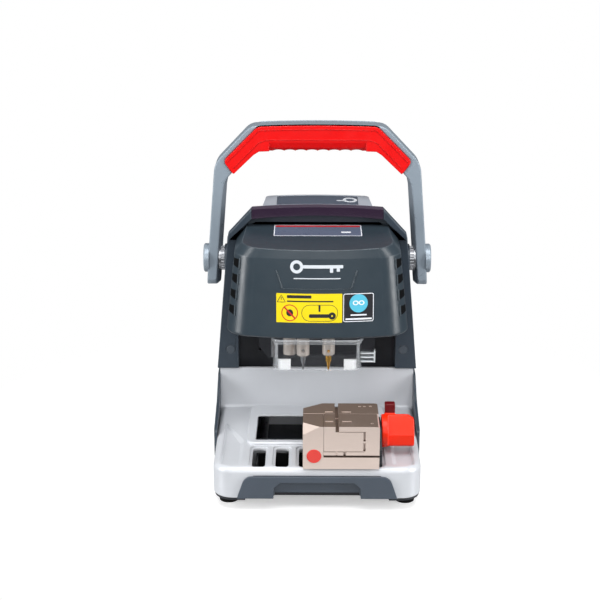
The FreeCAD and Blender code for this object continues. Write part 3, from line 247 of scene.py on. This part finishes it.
def plastics():
    # The housing, head and grip get strong edge lightening: painted highlight on their rounded edges as
    # well as scuffing.
    surface("housing_plastic", (48, 58, 68), 0.36, level=0.45, grain=3200.0, depth=0.015, edge=1.4,
            scuff_and_highlight=0.7, scuff_and_highlight_range=(0.998, 0.93))
    surface("head_plastic", (44, 55, 63), 0.32, level=0.5, vary=0.04, grain=3000.0, edge=1.6,
            scuff_and_highlight=0.9, scuff_and_highlight_range=(0.998, 0.95))
    surface("drawer_plastic", (66, 75, 86), 0.4, grain=3200.0, edge=0.8, tint=painted_shade_inside)
    surface("plug_plastic", (66, 74, 82), 0.35, edge=0.4)
    surface("gloss_black", (62, 74, 94), 0.16, grain=900.0, depth=0.002, coat=0.6, edge=0.4)
    surface("console_plastic", (160, 167, 176), 0.34, vary=0.04, edge=0.8)
    surface("white_plastic", (232, 234, 236), 0.35, vary=0.03)
    surface("frosted_plastic", (214, 220, 224), 0.22, vary=0.05, depth=0.004, edge=0.3, coat=0.4)
    # The louvres on the head use this near-black as painted shade in their openings.
    surface("vent_black", (6, 7, 8), 0.8, level=0.1, scuff_and_highlight=0.0, edge=0.1)
    surface("red_grip", (218, 5, 5), 0.36, level=0.4, vary=0.04, depth=0.02, edge=1.4, scuff_and_highlight=0.25,
            scuff_and_highlight_range=(0.998, 0.93))
    surface("badge_red", (214, 62, 54), 0.3, edge=0.3, scuff_and_highlight=0.1)
    surface("orange_knob", (236, 42, 6), 0.34, level=0.35, vary=0.04, edge=0.8, scuff_and_highlight=0.12,
            tint=painted_shade_lug)
    see_through("smoked_visor", (52, 36, 56), 0.12, 0.25, (120, 90, 130))
    see_through("clear_plastic", (240, 244, 246), 0.05, 0.96, (255, 255, 255), 1.3, 0.06)
    # Paler and less clear than the shell: painted highlight for the guard's rims, shoulder and posts.
    see_through("clear_edge", (214, 218, 222), 0.08, 0.5, (255, 255, 255), 1.4, 0.45)


def rubbers_and_board():
    surface("black_rubber", (10, 10, 11), 0.85, level=0.2, grain=1500.0, depth=0.02, scuff_and_highlight=0.05)
    surface("belt_rubber", (26, 26, 28), 0.8, grain=900.0, depth=0.1, stretch=(1, 1, 0.05))
    surface("board_green", (24, 92, 52), 0.35, tint=board_tracks, edge=0.2)


def prints():
    sheet = {"depth": 0.002, "edge": 0.1}
    for name, colour in (("label_yellow", (230, 206, 8)), ("label_black", (34, 34, 38)),
                         ("label_red", (190, 24, 32)), ("label_blue", (84, 182, 208)),
                         ("label_pale", (226, 230, 236))):
        surface(name, colour, 0.34, vary=0.03, scuff_and_highlight=0.05, **sheet)
    surface("label_slate", (88, 96, 116), 0.3, vary=0.05, scuff_and_highlight=0.05, **sheet)
    surface("label_silver", (206, 212, 218), 0.34, vary=0.03, **sheet)


metals()
plastics()
rubbers_and_board()
prints()


# --- Mesh helpers -------------------------------------------------------------------------------

def new_piece(name, vertices, faces, body, slot, smooth_angle):
    """Makes a closed mesh object with its faces outwards and rides it on its body."""
    mesh = bpy.data.meshes.new(name)
    mesh.from_pydata([tuple(v) for v in vertices], [], faces)
    mesh.validate()
    piece = bpy.data.objects.new(name, mesh)
    bpy.context.scene.collection.objects.link(piece)
    mesh.materials.append(MATERIALS[slot])
    mesh.shade_smooth()
    mesh.set_sharp_from_angle(angle=math.radians(smooth_angle))
    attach(piece, body)
    work = bmesh.new()
    work.from_mesh(mesh)
    bmesh.ops.recalc_face_normals(work, faces=work.faces)
    work.to_mesh(mesh)
    work.free()
    return piece


def soften(node, width):
    """Rounds a CAD node's sharp edges with modifiers, which leave its own mesh as it is."""
    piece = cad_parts[node]
    weld = piece.modifiers.new("weld", "WELD")
    weld.merge_threshold = 0.001 * MM
    flats = piece.modifiers.new("flats", "DECIMATE")
    flats.decimate_type = "DISSOLVE"
    flats.angle_limit = math.radians(0.6)
    bevel = piece.modifiers.new("edges", "BEVEL")
    bevel.width = width * MM
    bevel.segments = 2
    bevel.limit_method = "ANGLE"
    bevel.angle_limit = math.radians(30)
    bevel.use_clamp_overlap = False
    bevel.miter_outer = "MITER_ARC"
    bevel.harden_normals = False
    even = piece.modifiers.new("normals", "WEIGHTED_NORMAL")
    even.keep_sharp = True


# --- Flat outlines, as rows of (across, up) points in millimetres ---------------------------------

def panel_rows(x0, x1, z0, z1, corner=0.0, rows=10, columns=24):
    """Rows of a rectangle with rounded corners."""
    lines = []
    for r in range(rows + 1):
        z = z0 + (z1 - z0) * (0.5 - 0.5 * math.cos(math.pi * r / rows))
        near = min(z - z0, z1 - z)
        cut = 0.0
        if near < corner:
            cut = corner - math.sqrt(max(0.0, corner ** 2 - (corner - near) ** 2))
        width = x1 - x0 - 2 * cut
        lines.append([(x0 + cut + width * c / columns, z) for c in range(columns + 1)])
    return lines


def line_points(start, end, count=16):
    step_x = end[0] - start[0]
    step_z = end[1] - start[1]
    return [(start[0] + step_x * i / count, start[1] + step_z * i / count) for i in range(count + 1)]


def path_points(corners, count):
    """Points along a bent line, with count steps on each of its straights."""
    points = [corners[0]]
    for start, end in zip(corners, corners[1:]):
        points += line_points(start, end, count)[1:]
    return points


def stroke_rows(points, width):
    """Rows of a stroke of even width along a line of points."""
    left, right = [], []
    for i, (x, z) in enumerate(points):
        before = points[max(0, i - 1)]
        after = points[min(len(points) - 1, i + 1)]
        along = Vector((after[0] - before[0], after[1] - before[1])).normalized()
        left.append((x - along.y * width / 2, z + along.x * width / 2))
        right.append((x + along.y * width / 2, z - along.x * width / 2))
    return [left, right]


def ring_rows(x, z, inner, outer, squash=1.0, count=48):
    """Two closed rows of a ring; squash is its height as a share of its width."""
    turns = [2 * math.pi * c / count for c in range(count)]
    return [[(x + radius * math.cos(turn), z + squash * radius * math.sin(turn)) for turn in turns]
            for radius in (inner, outer)]


def outline_rows(x0, x1, z0, z1, corner, width, count=12):
    """Two closed rows of a stroke round a rectangle with rounded corners."""
    loops = []
    for inset in (width, 0.0):
        radius = max(corner - inset, 0.3)
        reach = inset + radius
        centres = [(x1 - reach, z1 - reach), (x0 + reach, z1 - reach),
                   (x0 + reach, z0 + reach), (x1 - reach, z0 + reach)]
        arcs = []
        for quarter, (cx, cz) in enumerate(centres):
            turns = [math.pi / 2 * (quarter + i / 4) for i in range(5)]
            arcs.append([(cx + radius * math.cos(turn), cz + radius * math.sin(turn)) for turn in turns])
        loop = []
        for arc, after in zip(arcs, arcs[1:] + arcs[:1]):
            loop += arc + line_points(arc[-1], after[0], count)[1:-1]
        loops.append(loop)
    return loops


# --- Thin pieces laid on a curved skin ----------------------------------------------------------

BACKWARDS = Vector((0, 1, 0))
DOWNWARDS = Vector((0, 0, -1))
IN_FRONT = -0.3             # metres: rays towards the back start here, ahead of the machine
OVERHEAD = 0.4              # metres: rays downwards start here, above it
UNDERSIDE = 0.02            # gap between the skin and a laid piece's underside
SHEET = 0.16                # height of a label's face over the skin
PRINT = 0.22                # height of what is printed on a label
DOT = 0.05                  # inner radius of a ring that is to read as a full disc


def skin_of(node):
    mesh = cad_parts[node].data
    places = [vertex.co for vertex in mesh.vertices]
    return BVHTree.FromPolygons(places, [tuple(face.vertices) for face in mesh.polygons])


HEAD_SKIN = skin_of("head_cover")
GRIP_SKIN = skin_of("handle_grip")
CONSOLE_SKIN = skin_of("console_inset")


def strip_faces(rows, count, loop):
    """Faces of a closed thin solid: the top's rows come first and the underside's after them."""
    size = rows * count
    last = size - count
    faces = []
    for c in range(count if loop else count - 1):
        after = (c + 1) % count
        for row in range(0, last, count):
            a, b = row + c, row + after
            faces.append((a, b, b + count, a + count))
            faces.append((a + size + count, b + size + count, b + size, a + size))
        faces.append((after, c, c + size, after + size))
        faces.append((last + c, last + after, last + after + size, last + c + size))
    if not loop:
        for a in range(0, last, count):
            faces.append((a, a + count, a + count + size, a + size))
        for a in range(count - 1, last, count):
            faces.append((a + count, a, a + size, a + count + size))
    return faces


def laid_on(name, rows, skin, towards, lift, slot, body, loop=False):
    """A thin solid whose rows of points, seen along a direction, follow a skin."""
    top, bottom = [], []
    for row in rows:
        for across, up in row:
            start = Vector((across * MM, IN_FRONT, up * MM))
            if towards is DOWNWARDS:
                start = Vector((across * MM, up * MM, OVERHEAD))
            place, normal, _, _ = skin.ray_cast(start, towards)
            if normal.dot(towards) > 0:
                normal = -normal
            top.append(place + normal * lift * MM)
            bottom.append(place + normal * UNDERSIDE * MM)
    new_piece(name, top + bottom, strip_faces(len(rows), len(rows[0]), loop), body, slot, 50)


def head_print(across, up):
    """Returns a function that lays pieces on the head's front, measured from the point (across, up)."""
    def put(name, rows, slot, lift=PRINT, loop=False):
        placed = [[(x + across, z + up) for x, z in row] for row in rows]
        laid_on(name, placed, HEAD_SKIN, BACKWARDS, lift, slot, "head", loop)
    return put


def caution_label():
    """Yellow label: a triangle beside bars, a crossed disc and a key blank under a tool."""
    put = head_print(-40.5, 173.6)
    put("caution_label", panel_rows(0.0, 64.8, 0.0, 28.6, 0.4), "label_yellow", SHEET)
    left, top, right = (0.9, 20.0), (4.9, 27.0), (8.9, 20.0)
    triangle = line_points(left, top, 4) + line_points(top, right, 4)[1:] + line_points(right, left, 6)[1:]
    put("caution_triangle", stroke_rows(triangle, 0.6), "label_black")
    put("caution_stem", panel_rows(4.55, 5.25, 22.2, 25.0, 0.2, 4, 2), "label_black")
    put("caution_bar", panel_rows(10.5, 34.5, 24.0, 27.0, 0.5, 4, 14), "label_black")
    put("caution_line", panel_rows(10.5, 56.0, 20.3, 21.7, 0.3, 4, 20), "label_black")
    put("stop_ring", ring_rows(13.2, 9.6, 7.3, 8.2), "label_red", loop=True)
    put("stop_bar", stroke_rows(line_points((8.1, 14.8), (18.3, 4.4)), 1.5), "label_red")
    put("stop_disc", ring_rows(13.2, 9.6, DOT, 3.4), "label_black", lift=0.2, loop=True)
    put("work_frame", outline_rows(24.7, 60.7, 1.4, 17.8, 8.0, 0.5), "label_black", loop=True)
    put("work_tool", panel_rows(41.5, 43.4, 11.0, 17.4, 0.2, 4, 2), "label_black")
    put("work_blank", panel_rows(32.1, 52.5, 5.0, 8.6, 1.4, 6, 14), "label_black")
    put("work_bow", ring_rows(54.9, 6.8, 0.9, 3.6), "label_black", loop=True)


def goggles_label():
    """Black label: a pair of goggles on a blue disc, over two bars."""
    put = head_print(25.0, 173.9)
    put("goggles_label", panel_rows(0.0, 30.6, 0.0, 28.5, 2.2), "label_black", SHEET)
    put("goggles_border", outline_rows(0.3, 30.3, 0.3, 28.2, 2.0, 0.7), "label_pale", loop=True)
    put("goggles_disc", ring_rows(15.4, 18.5, DOT, 9.0), "label_blue", loop=True)
    for side, hand in ((-1, "left"), (1, "right")):
        lens = ring_rows(15.4 + side * 2.9, 18.9, 1.7, 2.9, 0.8)
        put("goggles_lens_%s" % hand, lens, "label_pale", lift=0.28, loop=True)
    put("goggles_line_upper", panel_rows(7.5, 23.5, 6.3, 7.7, 0.4, 4, 12), "label_pale")
    put("goggles_line_lower", panel_rows(2.5, 28.5, 2.3, 3.9, 0.4, 4, 16), "label_pale")


def key_emblem():
    """Plain key outline over a thin line, measured from the middle of the key's bow."""
    put = head_print(-20.5, 228.4)
    put("key_emblem_bow", ring_rows(0.0, 0.0, 3.4, 6.4), "label_silver", lift=0.3, loop=True)
    for name, outline in (("blade", panel_rows(6.1, 45.5, -1.4, 1.8, 0.6, 4, 24)),
                          ("bits", panel_rows(32.5, 35.7, -5.6, -1.4, 0.3, 4, 4)),
                          ("tip", panel_rows(39.1, 42.3, -4.6, -1.4, 0.3, 4, 4))):
        put("key_emblem_%s" % name, outline, "label_silver", lift=0.3)
    put("emblem_line", panel_rows(-3.0, 43.0, -11.9, -10.9, 0.3, 4, 24), "label_silver", lift=0.2)


def head_creases():
    """Raised edges of the shallow panel that frames the emblem, measured from the head's middle."""
    put = head_print(0.0, 206.9)
    for hand, foot, top in (("left", -34.6, -40.8), ("right", 33.2, 38.8)):
        crease = line_points((top, 17.6), (foot, 0.0))
        put("panel_crease_%s" % hand, stroke_rows(crease, 1.5), "head_plastic", lift=0.4)
    low_crease = line_points((-34.4, -0.3), (33.0, -0.3))
    put("panel_crease_low", stroke_rows(low_crease, 1.0), "head_plastic", lift=0.3)


VENT_LOW = 181.0            # middle of the lowest louvre
VENT_PITCH = 15.5
VENT_HALF = 3.4             # half a louvre's height at its outer end
VENT_FLARE = 0.33           # how much taller it is at its inner end, as a share of that
VENT_WIDTH = 5.2
VENT_OUTER = 88.2           # the lowest louvre's outer end, from the head's middle
LIP_FOOT = 82.0             # the foot of its lip, from there too
HEAD_TAPER = 0.1076         # how much narrower each half of the head gets per millimetre of height


def head_vents():
    """Slanted louvres near the head's front corners, each a near-black sheet of painted shade where its
    opening is, with a raised lip on its inner side.
    """
    for side, hand in ((-1, "left"), (1, "right")):
        for index in range(4):
            rise = VENT_PITCH * index
            put = head_print(0.0, VENT_LOW + rise)
            mouth = []
            for r in range(7):
                step = VENT_HALF * (r / 3 - 1)
                outer = VENT_OUTER - HEAD_TAPER * (rise + step)
                mouth.append([(side * (outer - VENT_WIDTH * c / 4), step * (1 + VENT_FLARE * c / 4))
                              for c in range(5)])
            put("vent_%s_%d" % (hand, index + 1), mouth, "vent_black", lift=0.15)
            lip_x = LIP_FOOT - HEAD_TAPER * rise
            lip = line_points((side * lip_x, -5.0), (side * (lip_x - 0.6), 5.4), 6)
            put("vent_lip_%s_%d" % (hand, index + 1), stroke_rows(lip, 1.2), "head_plastic", lift=0.9)


def grip_beads():
    """Two raised beads that follow the bends of the red grip."""
    for name, half in (("outer", [(93.6, 310.2), (60.4, 343.4), (0.0, 344.6)]),
                       ("inner", [(87.6, 303.6), (61.0, 330.6), (53.0, 333.4), (0.0, 333.4)])):
        corners = half + [(-x, z) for x, z in half[-2::-1]]
        bead = stroke_rows(path_points(corners, 6), 0.9)
        laid_on("grip_bead_%s" % name, bead, GRIP_SKIN, BACKWARDS, 0.45, "red_grip", "handle")


def top_label():
    """Slate label on the head's top, in X and Y: a border, a thin red line and one pale dash."""
    for name, rows, lift, slot, loop in (
            ("top_label", panel_rows(-44.5, 45.2, -31.0, 3.6, 1.0), 0.14, "label_slate", False),
            ("top_label_border", outline_rows(-44.2, 44.9, -30.7, 3.4, 1.0, 0.9), 0.2, "label_pale", True),
            ("top_label_stripe", panel_rows(-43.0, 43.6, -2.6, 2.2, 0.4), 0.2, "label_red", False),
            ("top_label_mark", panel_rows(24.0, 34.0, -21.0, -17.4, 1.2), 0.2, "label_pale", False)):
        laid_on(name, rows, HEAD_SKIN, DOWNWARDS, lift, slot, "head", loop)


def console_mark():
    """Silver ring and bar on the console, in X and Y."""
    ring = ring_rows(34.0, 33.0, 4.6, 7.4, 1.3)
    bar = panel_rows(20.0, 29.0, 28.0, 31.0, 1.2)
    laid_on("console_lens", ring, CONSOLE_SKIN, DOWNWARDS, 0.2, "label_silver", "base", True)
    laid_on("console_bar", bar, CONSOLE_SKIN, DOWNWARDS, 0.2, "label_silver", "base")


# --- Clear guard --------------------------------------------------------------------------------

GUARD_HALF = 43.4           # half width of the guard's wall
GUARD_FRONT = -85.0
GUARD_REAR = -44.2
GUARD_CORNER = 7.0
GUARD_LOW = 123.3
GUARD_TOP = 155.5
TAB_Y = -67.0               # middle of the thumb tab on the right
TAB_LOW = 126.2
TAB_END = 58.3
BARREL = (-45.5, -43.5)     # axis of the hinge barrel
BARREL_BORE = 1.55
BARREL_R = 3.6


def guard_path():
    """Plan of the guard's wall, from its left rear end round the front to its right rear end."""
    right = [(GUARD_HALF + 0.6, GUARD_REAR)]
    for i in range(9):
        turn = math.pi / 2 * i / 8
        right.append((GUARD_HALF - GUARD_CORNER + GUARD_CORNER * math.cos(turn),
                      GUARD_FRONT + GUARD_CORNER - GUARD_CORNER * math.sin(turn)))
    return [(-x, y) for x, y in right] + right[::-1]


def rounded_profile(low, high, inner, outer, radius):
    """Closed rounded rectangle in (outward, up)."""
    centres = [(outer - radius, high - radius), (inner + radius, high - radius),
               (inner + radius, low + radius), (outer - radius, low + radius)]
    points = []
    for quarter, (cx, cz) in enumerate(centres):
        for i in range(4):
            turn = math.pi / 2 * (quarter + i / 3)
            points.append((cx + radius * math.cos(turn), cz + radius * math.sin(turn)))
    return points


def guard_strip(name, path, profile, slot):
    """Closed profile of (outward, up) pairs carried along an open plan path."""
    ring = len(profile)
    last = (len(path) - 1) * ring
    vertices, faces = [], []
    for i, (x, y) in enumerate(path):
        before, after = path[max(0, i - 1)], path[min(len(path) - 1, i + 1)]
        along = Vector((after[0] - before[0], after[1] - before[1], 0)).normalized()
        out = Vector((along.y, -along.x, 0))
        vertices += [(Vector((x, y, z)) + out * offset) * MM for offset, z in profile]
    for start in range(0, last, ring):
        for k in range(ring):
            a, b = start + k, start + (k + 1) % ring
            faces.append((a, b, b + ring, a + ring))
    faces.append(tuple(range(ring)))
    faces.append(tuple(range(last, last + ring))[::-1])
    return new_piece(name, vertices, faces, "guard", slot, 40)


def guard_barrel():
    """Hinge barrel with rounded ends, as a closed ring turned about the hinge pin."""
    low, high = GUARD_LOW, GUARD_TOP + 1.0
    profile = [(BARREL_BORE, low), (BARREL_R - 0.6, low), (BARREL_R, low + 0.6),
               (BARREL_R, high - 0.6), (BARREL_R - 0.6, high), (BARREL_BORE, high)]
    ring = len(profile)
    count = 32
    vertices, faces = [], []
    for c in range(count):
        turn = 2 * math.pi * c / count
        for radius, z in profile:
            x = BARREL[0] + radius * math.cos(turn)
            y = BARREL[1] + radius * math.sin(turn)
            vertices.append(Vector((x, y, z)) * MM)
        after = (c + 1) % count
        for k in range(ring):
            other = (k + 1) % ring
            faces.append((c * ring + k, after * ring + k, after * ring + other, c * ring + other))
    new_piece("guard_barrel", vertices, faces, "guard", "clear_plastic", 40)


def guard_tab():
    """Ribbed thumb tab at the guard's right."""
    path = [(GUARD_HALF + 0.2, TAB_Y), (50.0, TAB_Y), (TAB_END, TAB_Y)]
    for index, rise in enumerate((0.0, 4.4, 8.6)):
        rib = rounded_profile(TAB_LOW + rise, TAB_LOW + rise + 1.6, -2.8, 2.8, 0.7)
        guard_strip("guard_tab_rib_%d" % (index + 1), path, rib, "frosted_plastic")
    web = rounded_profile(TAB_LOW + 0.4, TAB_LOW + 12.4, -1.2, 1.2, 0.5)
    guard_strip("guard_tab_web", path, web, "clear_plastic")
    end_path = [(TAB_END - 0.9, TAB_Y - 2.8), (TAB_END - 0.9, TAB_Y + 2.8)]
    end = rounded_profile(TAB_LOW, TAB_LOW + 12.6, -0.7, 0.9, 0.5)
    guard_strip("guard_tab_end", end_path, end, "frosted_plastic")


def clear_guard():
    path = guard_path()
    wall = rounded_profile(GUARD_LOW + 1.9, GUARD_TOP - 3.9, -0.6, 0.6, 0.25)
    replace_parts(guard_strip("guard_shell", path, wall, "clear_plastic"), "tool_guard")
    # The rims, shoulder and posts below are in the paler, less clear plastic: painted highlight along the
    # guard's edges.
    for name, low, high, inner, outer, radius in (
            ("guard_top_rim", GUARD_TOP - 2.1, GUARD_TOP, -0.9, 2.4, 0.7),
            ("guard_shoulder", GUARD_TOP - 4.6, GUARD_TOP - 3.5, -0.9, 0.9, 0.4),
            ("guard_low_rim", GUARD_LOW, GUARD_LOW + 1.2, -0.8, 0.9, 0.5)):
        guard_strip(name, path, rounded_profile(low, high, inner, outer, radius), "clear_edge")
    post = rounded_profile(GUARD_LOW + 1.7, GUARD_TOP - 3.5, -2.0, -0.8, 0.5)
    guard_strip("guard_post_left", [(-42.9, -80.4), (-40.6, -83.4)], post, "clear_edge")
    guard_strip("guard_post_right", [(40.6, -83.4), (42.9, -80.4)], post, "clear_edge")
    guard_tab()
    guard_barrel()


# --- The machine --------------------------------------------------------------------------------

for cad_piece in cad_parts.values():
    slot_name = cad_piece.data.materials[0].name.split(".")[0]
    cad_piece.data.materials[0] = MATERIALS[slot_name]

for softened, width in (("clamp_knob", 1.0), ("handle_frame", 1.2), ("top_console", 0.8),
                        ("housing_shell", 0.7)):
    soften(softened, width)

caution_label()
goggles_label()
key_emblem()
head_creases()
head_vents()
grip_beads()
top_label()
console_mark()
clear_guard()


# --- Stage, in metres ---------------------------------------------------------------------------

FLOOR_HALF = 0.6
FADE_START = 0.26           # the floor fades into the white background between these radii
FADE_END = 0.42
FLOOR_GLOW = 0.42           # the floor's own light to the camera
BOUNCE_GLOW = 0.04          # and to the machine
BOUNCE = 0.5                # share of the floor's tone that lights the machine from below

AIM = Vector((0.0, 0.0, 0.150))     # point of the machine's middle plane that DISTANCE is measured to
DISTANCE = 1.4
AZIMUTH = math.radians(0.5)
ELEVATION = math.radians(18.0)
CAMERA_LEFT = 0.0179                # the camera stands this far left of and above the line through AIM
CAMERA_UP = 0.0186
LENS = 80.0
SENSOR = 36.0

# name, place, point it faces, size, power in watts
SOFTBOXES = (
    ("left_softbox", (-1.2, -0.5, 0.5), (0, 0, 0.18), (0.4, 0.9), 14),
    ("right_softbox", (1.2, -0.5, 0.5), (0, 0, 0.18), (0.4, 0.9), 14),
    ("top_softbox", (0.0, -0.55, 1.4), (0, 0, 0.1), (1.4, 0.9), 18),
    ("front_softbox", (0.0, -2.2, 1.0), (0, 0, 0.15), (1.6, 1.0), 13),
)
STUDIO_STRENGTH = 0.22
STUDIO_LOW = (0.55, 0.58, 0.62, 1)  # studio colour level with the machine and below
STUDIO_HIGH = (1.0, 1.0, 1.0, 1)


def make_floor():
    mesh = bpy.data.meshes.new("floor")
    corners = [(-FLOOR_HALF, -FLOOR_HALF, 0), (FLOOR_HALF, -FLOOR_HALF, 0),
               (FLOOR_HALF, FLOOR_HALF, 0), (-FLOOR_HALF, FLOOR_HALF, 0)]
    mesh.from_pydata(corners, [], [(0, 1, 2, 3)])
    floor = bpy.data.objects.new("floor", mesh)
    bpy.context.scene.collection.objects.link(floor)
    r = Recipe("studio_floor")
    haze = r.spread(r.noise(2.0), 0.88, 0.92)
    seen = r.add("ShaderNodeLightPath").outputs["Is Camera Ray"]
    tone = r.math("MULTIPLY", haze, r.remap(seen, 0.0, 1.0, BOUNCE, 1.0))
    r.set(Base_Color=r.add("ShaderNodeCombineColor", {0: tone, 1: tone, 2: tone}).outputs[0])
    r.set(Roughness=0.14, Specular_IOR_Level=0.5)
    r.set(Emission_Color=rgb(255, 255, 255))
    r.set(Emission_Strength=r.remap(seen, 0.0, 1.0, BOUNCE_GLOW, FLOOR_GLOW))
    distance = r.add("ShaderNodeVectorMath", {0: r.place}, operation="LENGTH").outputs["Value"]
    r.set(Alpha=r.remap(distance, FADE_START, FADE_END, 1.0, 0.0))
    mesh.materials.append(r.material)


def make_softbox(name, place, target, size, power):
    light = bpy.data.lights.new(name, "AREA")
    light.shape = "RECTANGLE"
    light.size, light.size_y = size
    light.energy = power
    lamp = bpy.data.objects.new(name, light)
    bpy.context.scene.collection.objects.link(lamp)
    lamp.location = place
    lamp.rotation_mode = "QUATERNION"
    lamp.rotation_quaternion = (Vector(target) - Vector(place)).to_track_quat("-Z", "Y")


def make_world():
    """White to the camera; to the object, a soft studio that is brighter overhead than in front."""
    world = bpy.data.worlds.new("studio")
    bpy.context.scene.world = world
    world.use_nodes = True
    nodes, links = world.node_tree.nodes, world.node_tree.links
    nodes.clear()
    seen = nodes.new("ShaderNodeBackground")
    seen.inputs["Color"].default_value = (1, 1, 1, 1)
    lit = nodes.new("ShaderNodeBackground")
    lit.inputs["Strength"].default_value = STUDIO_STRENGTH
    place = nodes.new("ShaderNodeTexCoord")
    split = nodes.new("ShaderNodeSeparateXYZ")
    links.new(place.outputs["Generated"], split.inputs[0])
    ramp = nodes.new("ShaderNodeValToRGB")
    low, high = ramp.color_ramp.elements
    low.position = 0.0
    low.color = STUDIO_LOW
    high.position = 0.7
    high.color = STUDIO_HIGH
    links.new(split.outputs["Z"], ramp.inputs["Fac"])
    links.new(ramp.outputs["Color"], lit.inputs["Color"])
    rays = nodes.new("ShaderNodeLightPath")
    mix = nodes.new("ShaderNodeMixShader")
    links.new(rays.outputs["Is Camera Ray"], mix.inputs[0])
    links.new(lit.outputs[0], mix.inputs[1])
    links.new(seen.outputs[0], mix.inputs[2])
    out = nodes.new("ShaderNodeOutputWorld")
    links.new(mix.outputs[0], out.inputs["Surface"])


def make_camera():
    camera = bpy.data.cameras.new("camera")
    camera.lens = LENS
    camera.sensor_width = SENSOR
    holder = bpy.data.objects.new("camera", camera)
    bpy.context.scene.collection.objects.link(holder)
    level = math.cos(ELEVATION)
    back = Vector((math.sin(AZIMUTH) * level, -math.cos(AZIMUTH) * level, math.sin(ELEVATION)))
    turn = (-back).to_track_quat("-Z", "Y")
    right = turn @ Vector((1, 0, 0))
    up = turn @ Vector((0, 1, 0))
    holder.rotation_mode = "QUATERNION"
    holder.rotation_quaternion = turn
    holder.location = AIM + back * DISTANCE - right * CAMERA_LEFT + up * CAMERA_UP
    bpy.context.scene.camera = holder


make_floor()
make_world()
for softbox in SOFTBOXES:
    make_softbox(*softbox)
make_camera()
bpy.context.scene.view_settings.view_transform = "Standard"
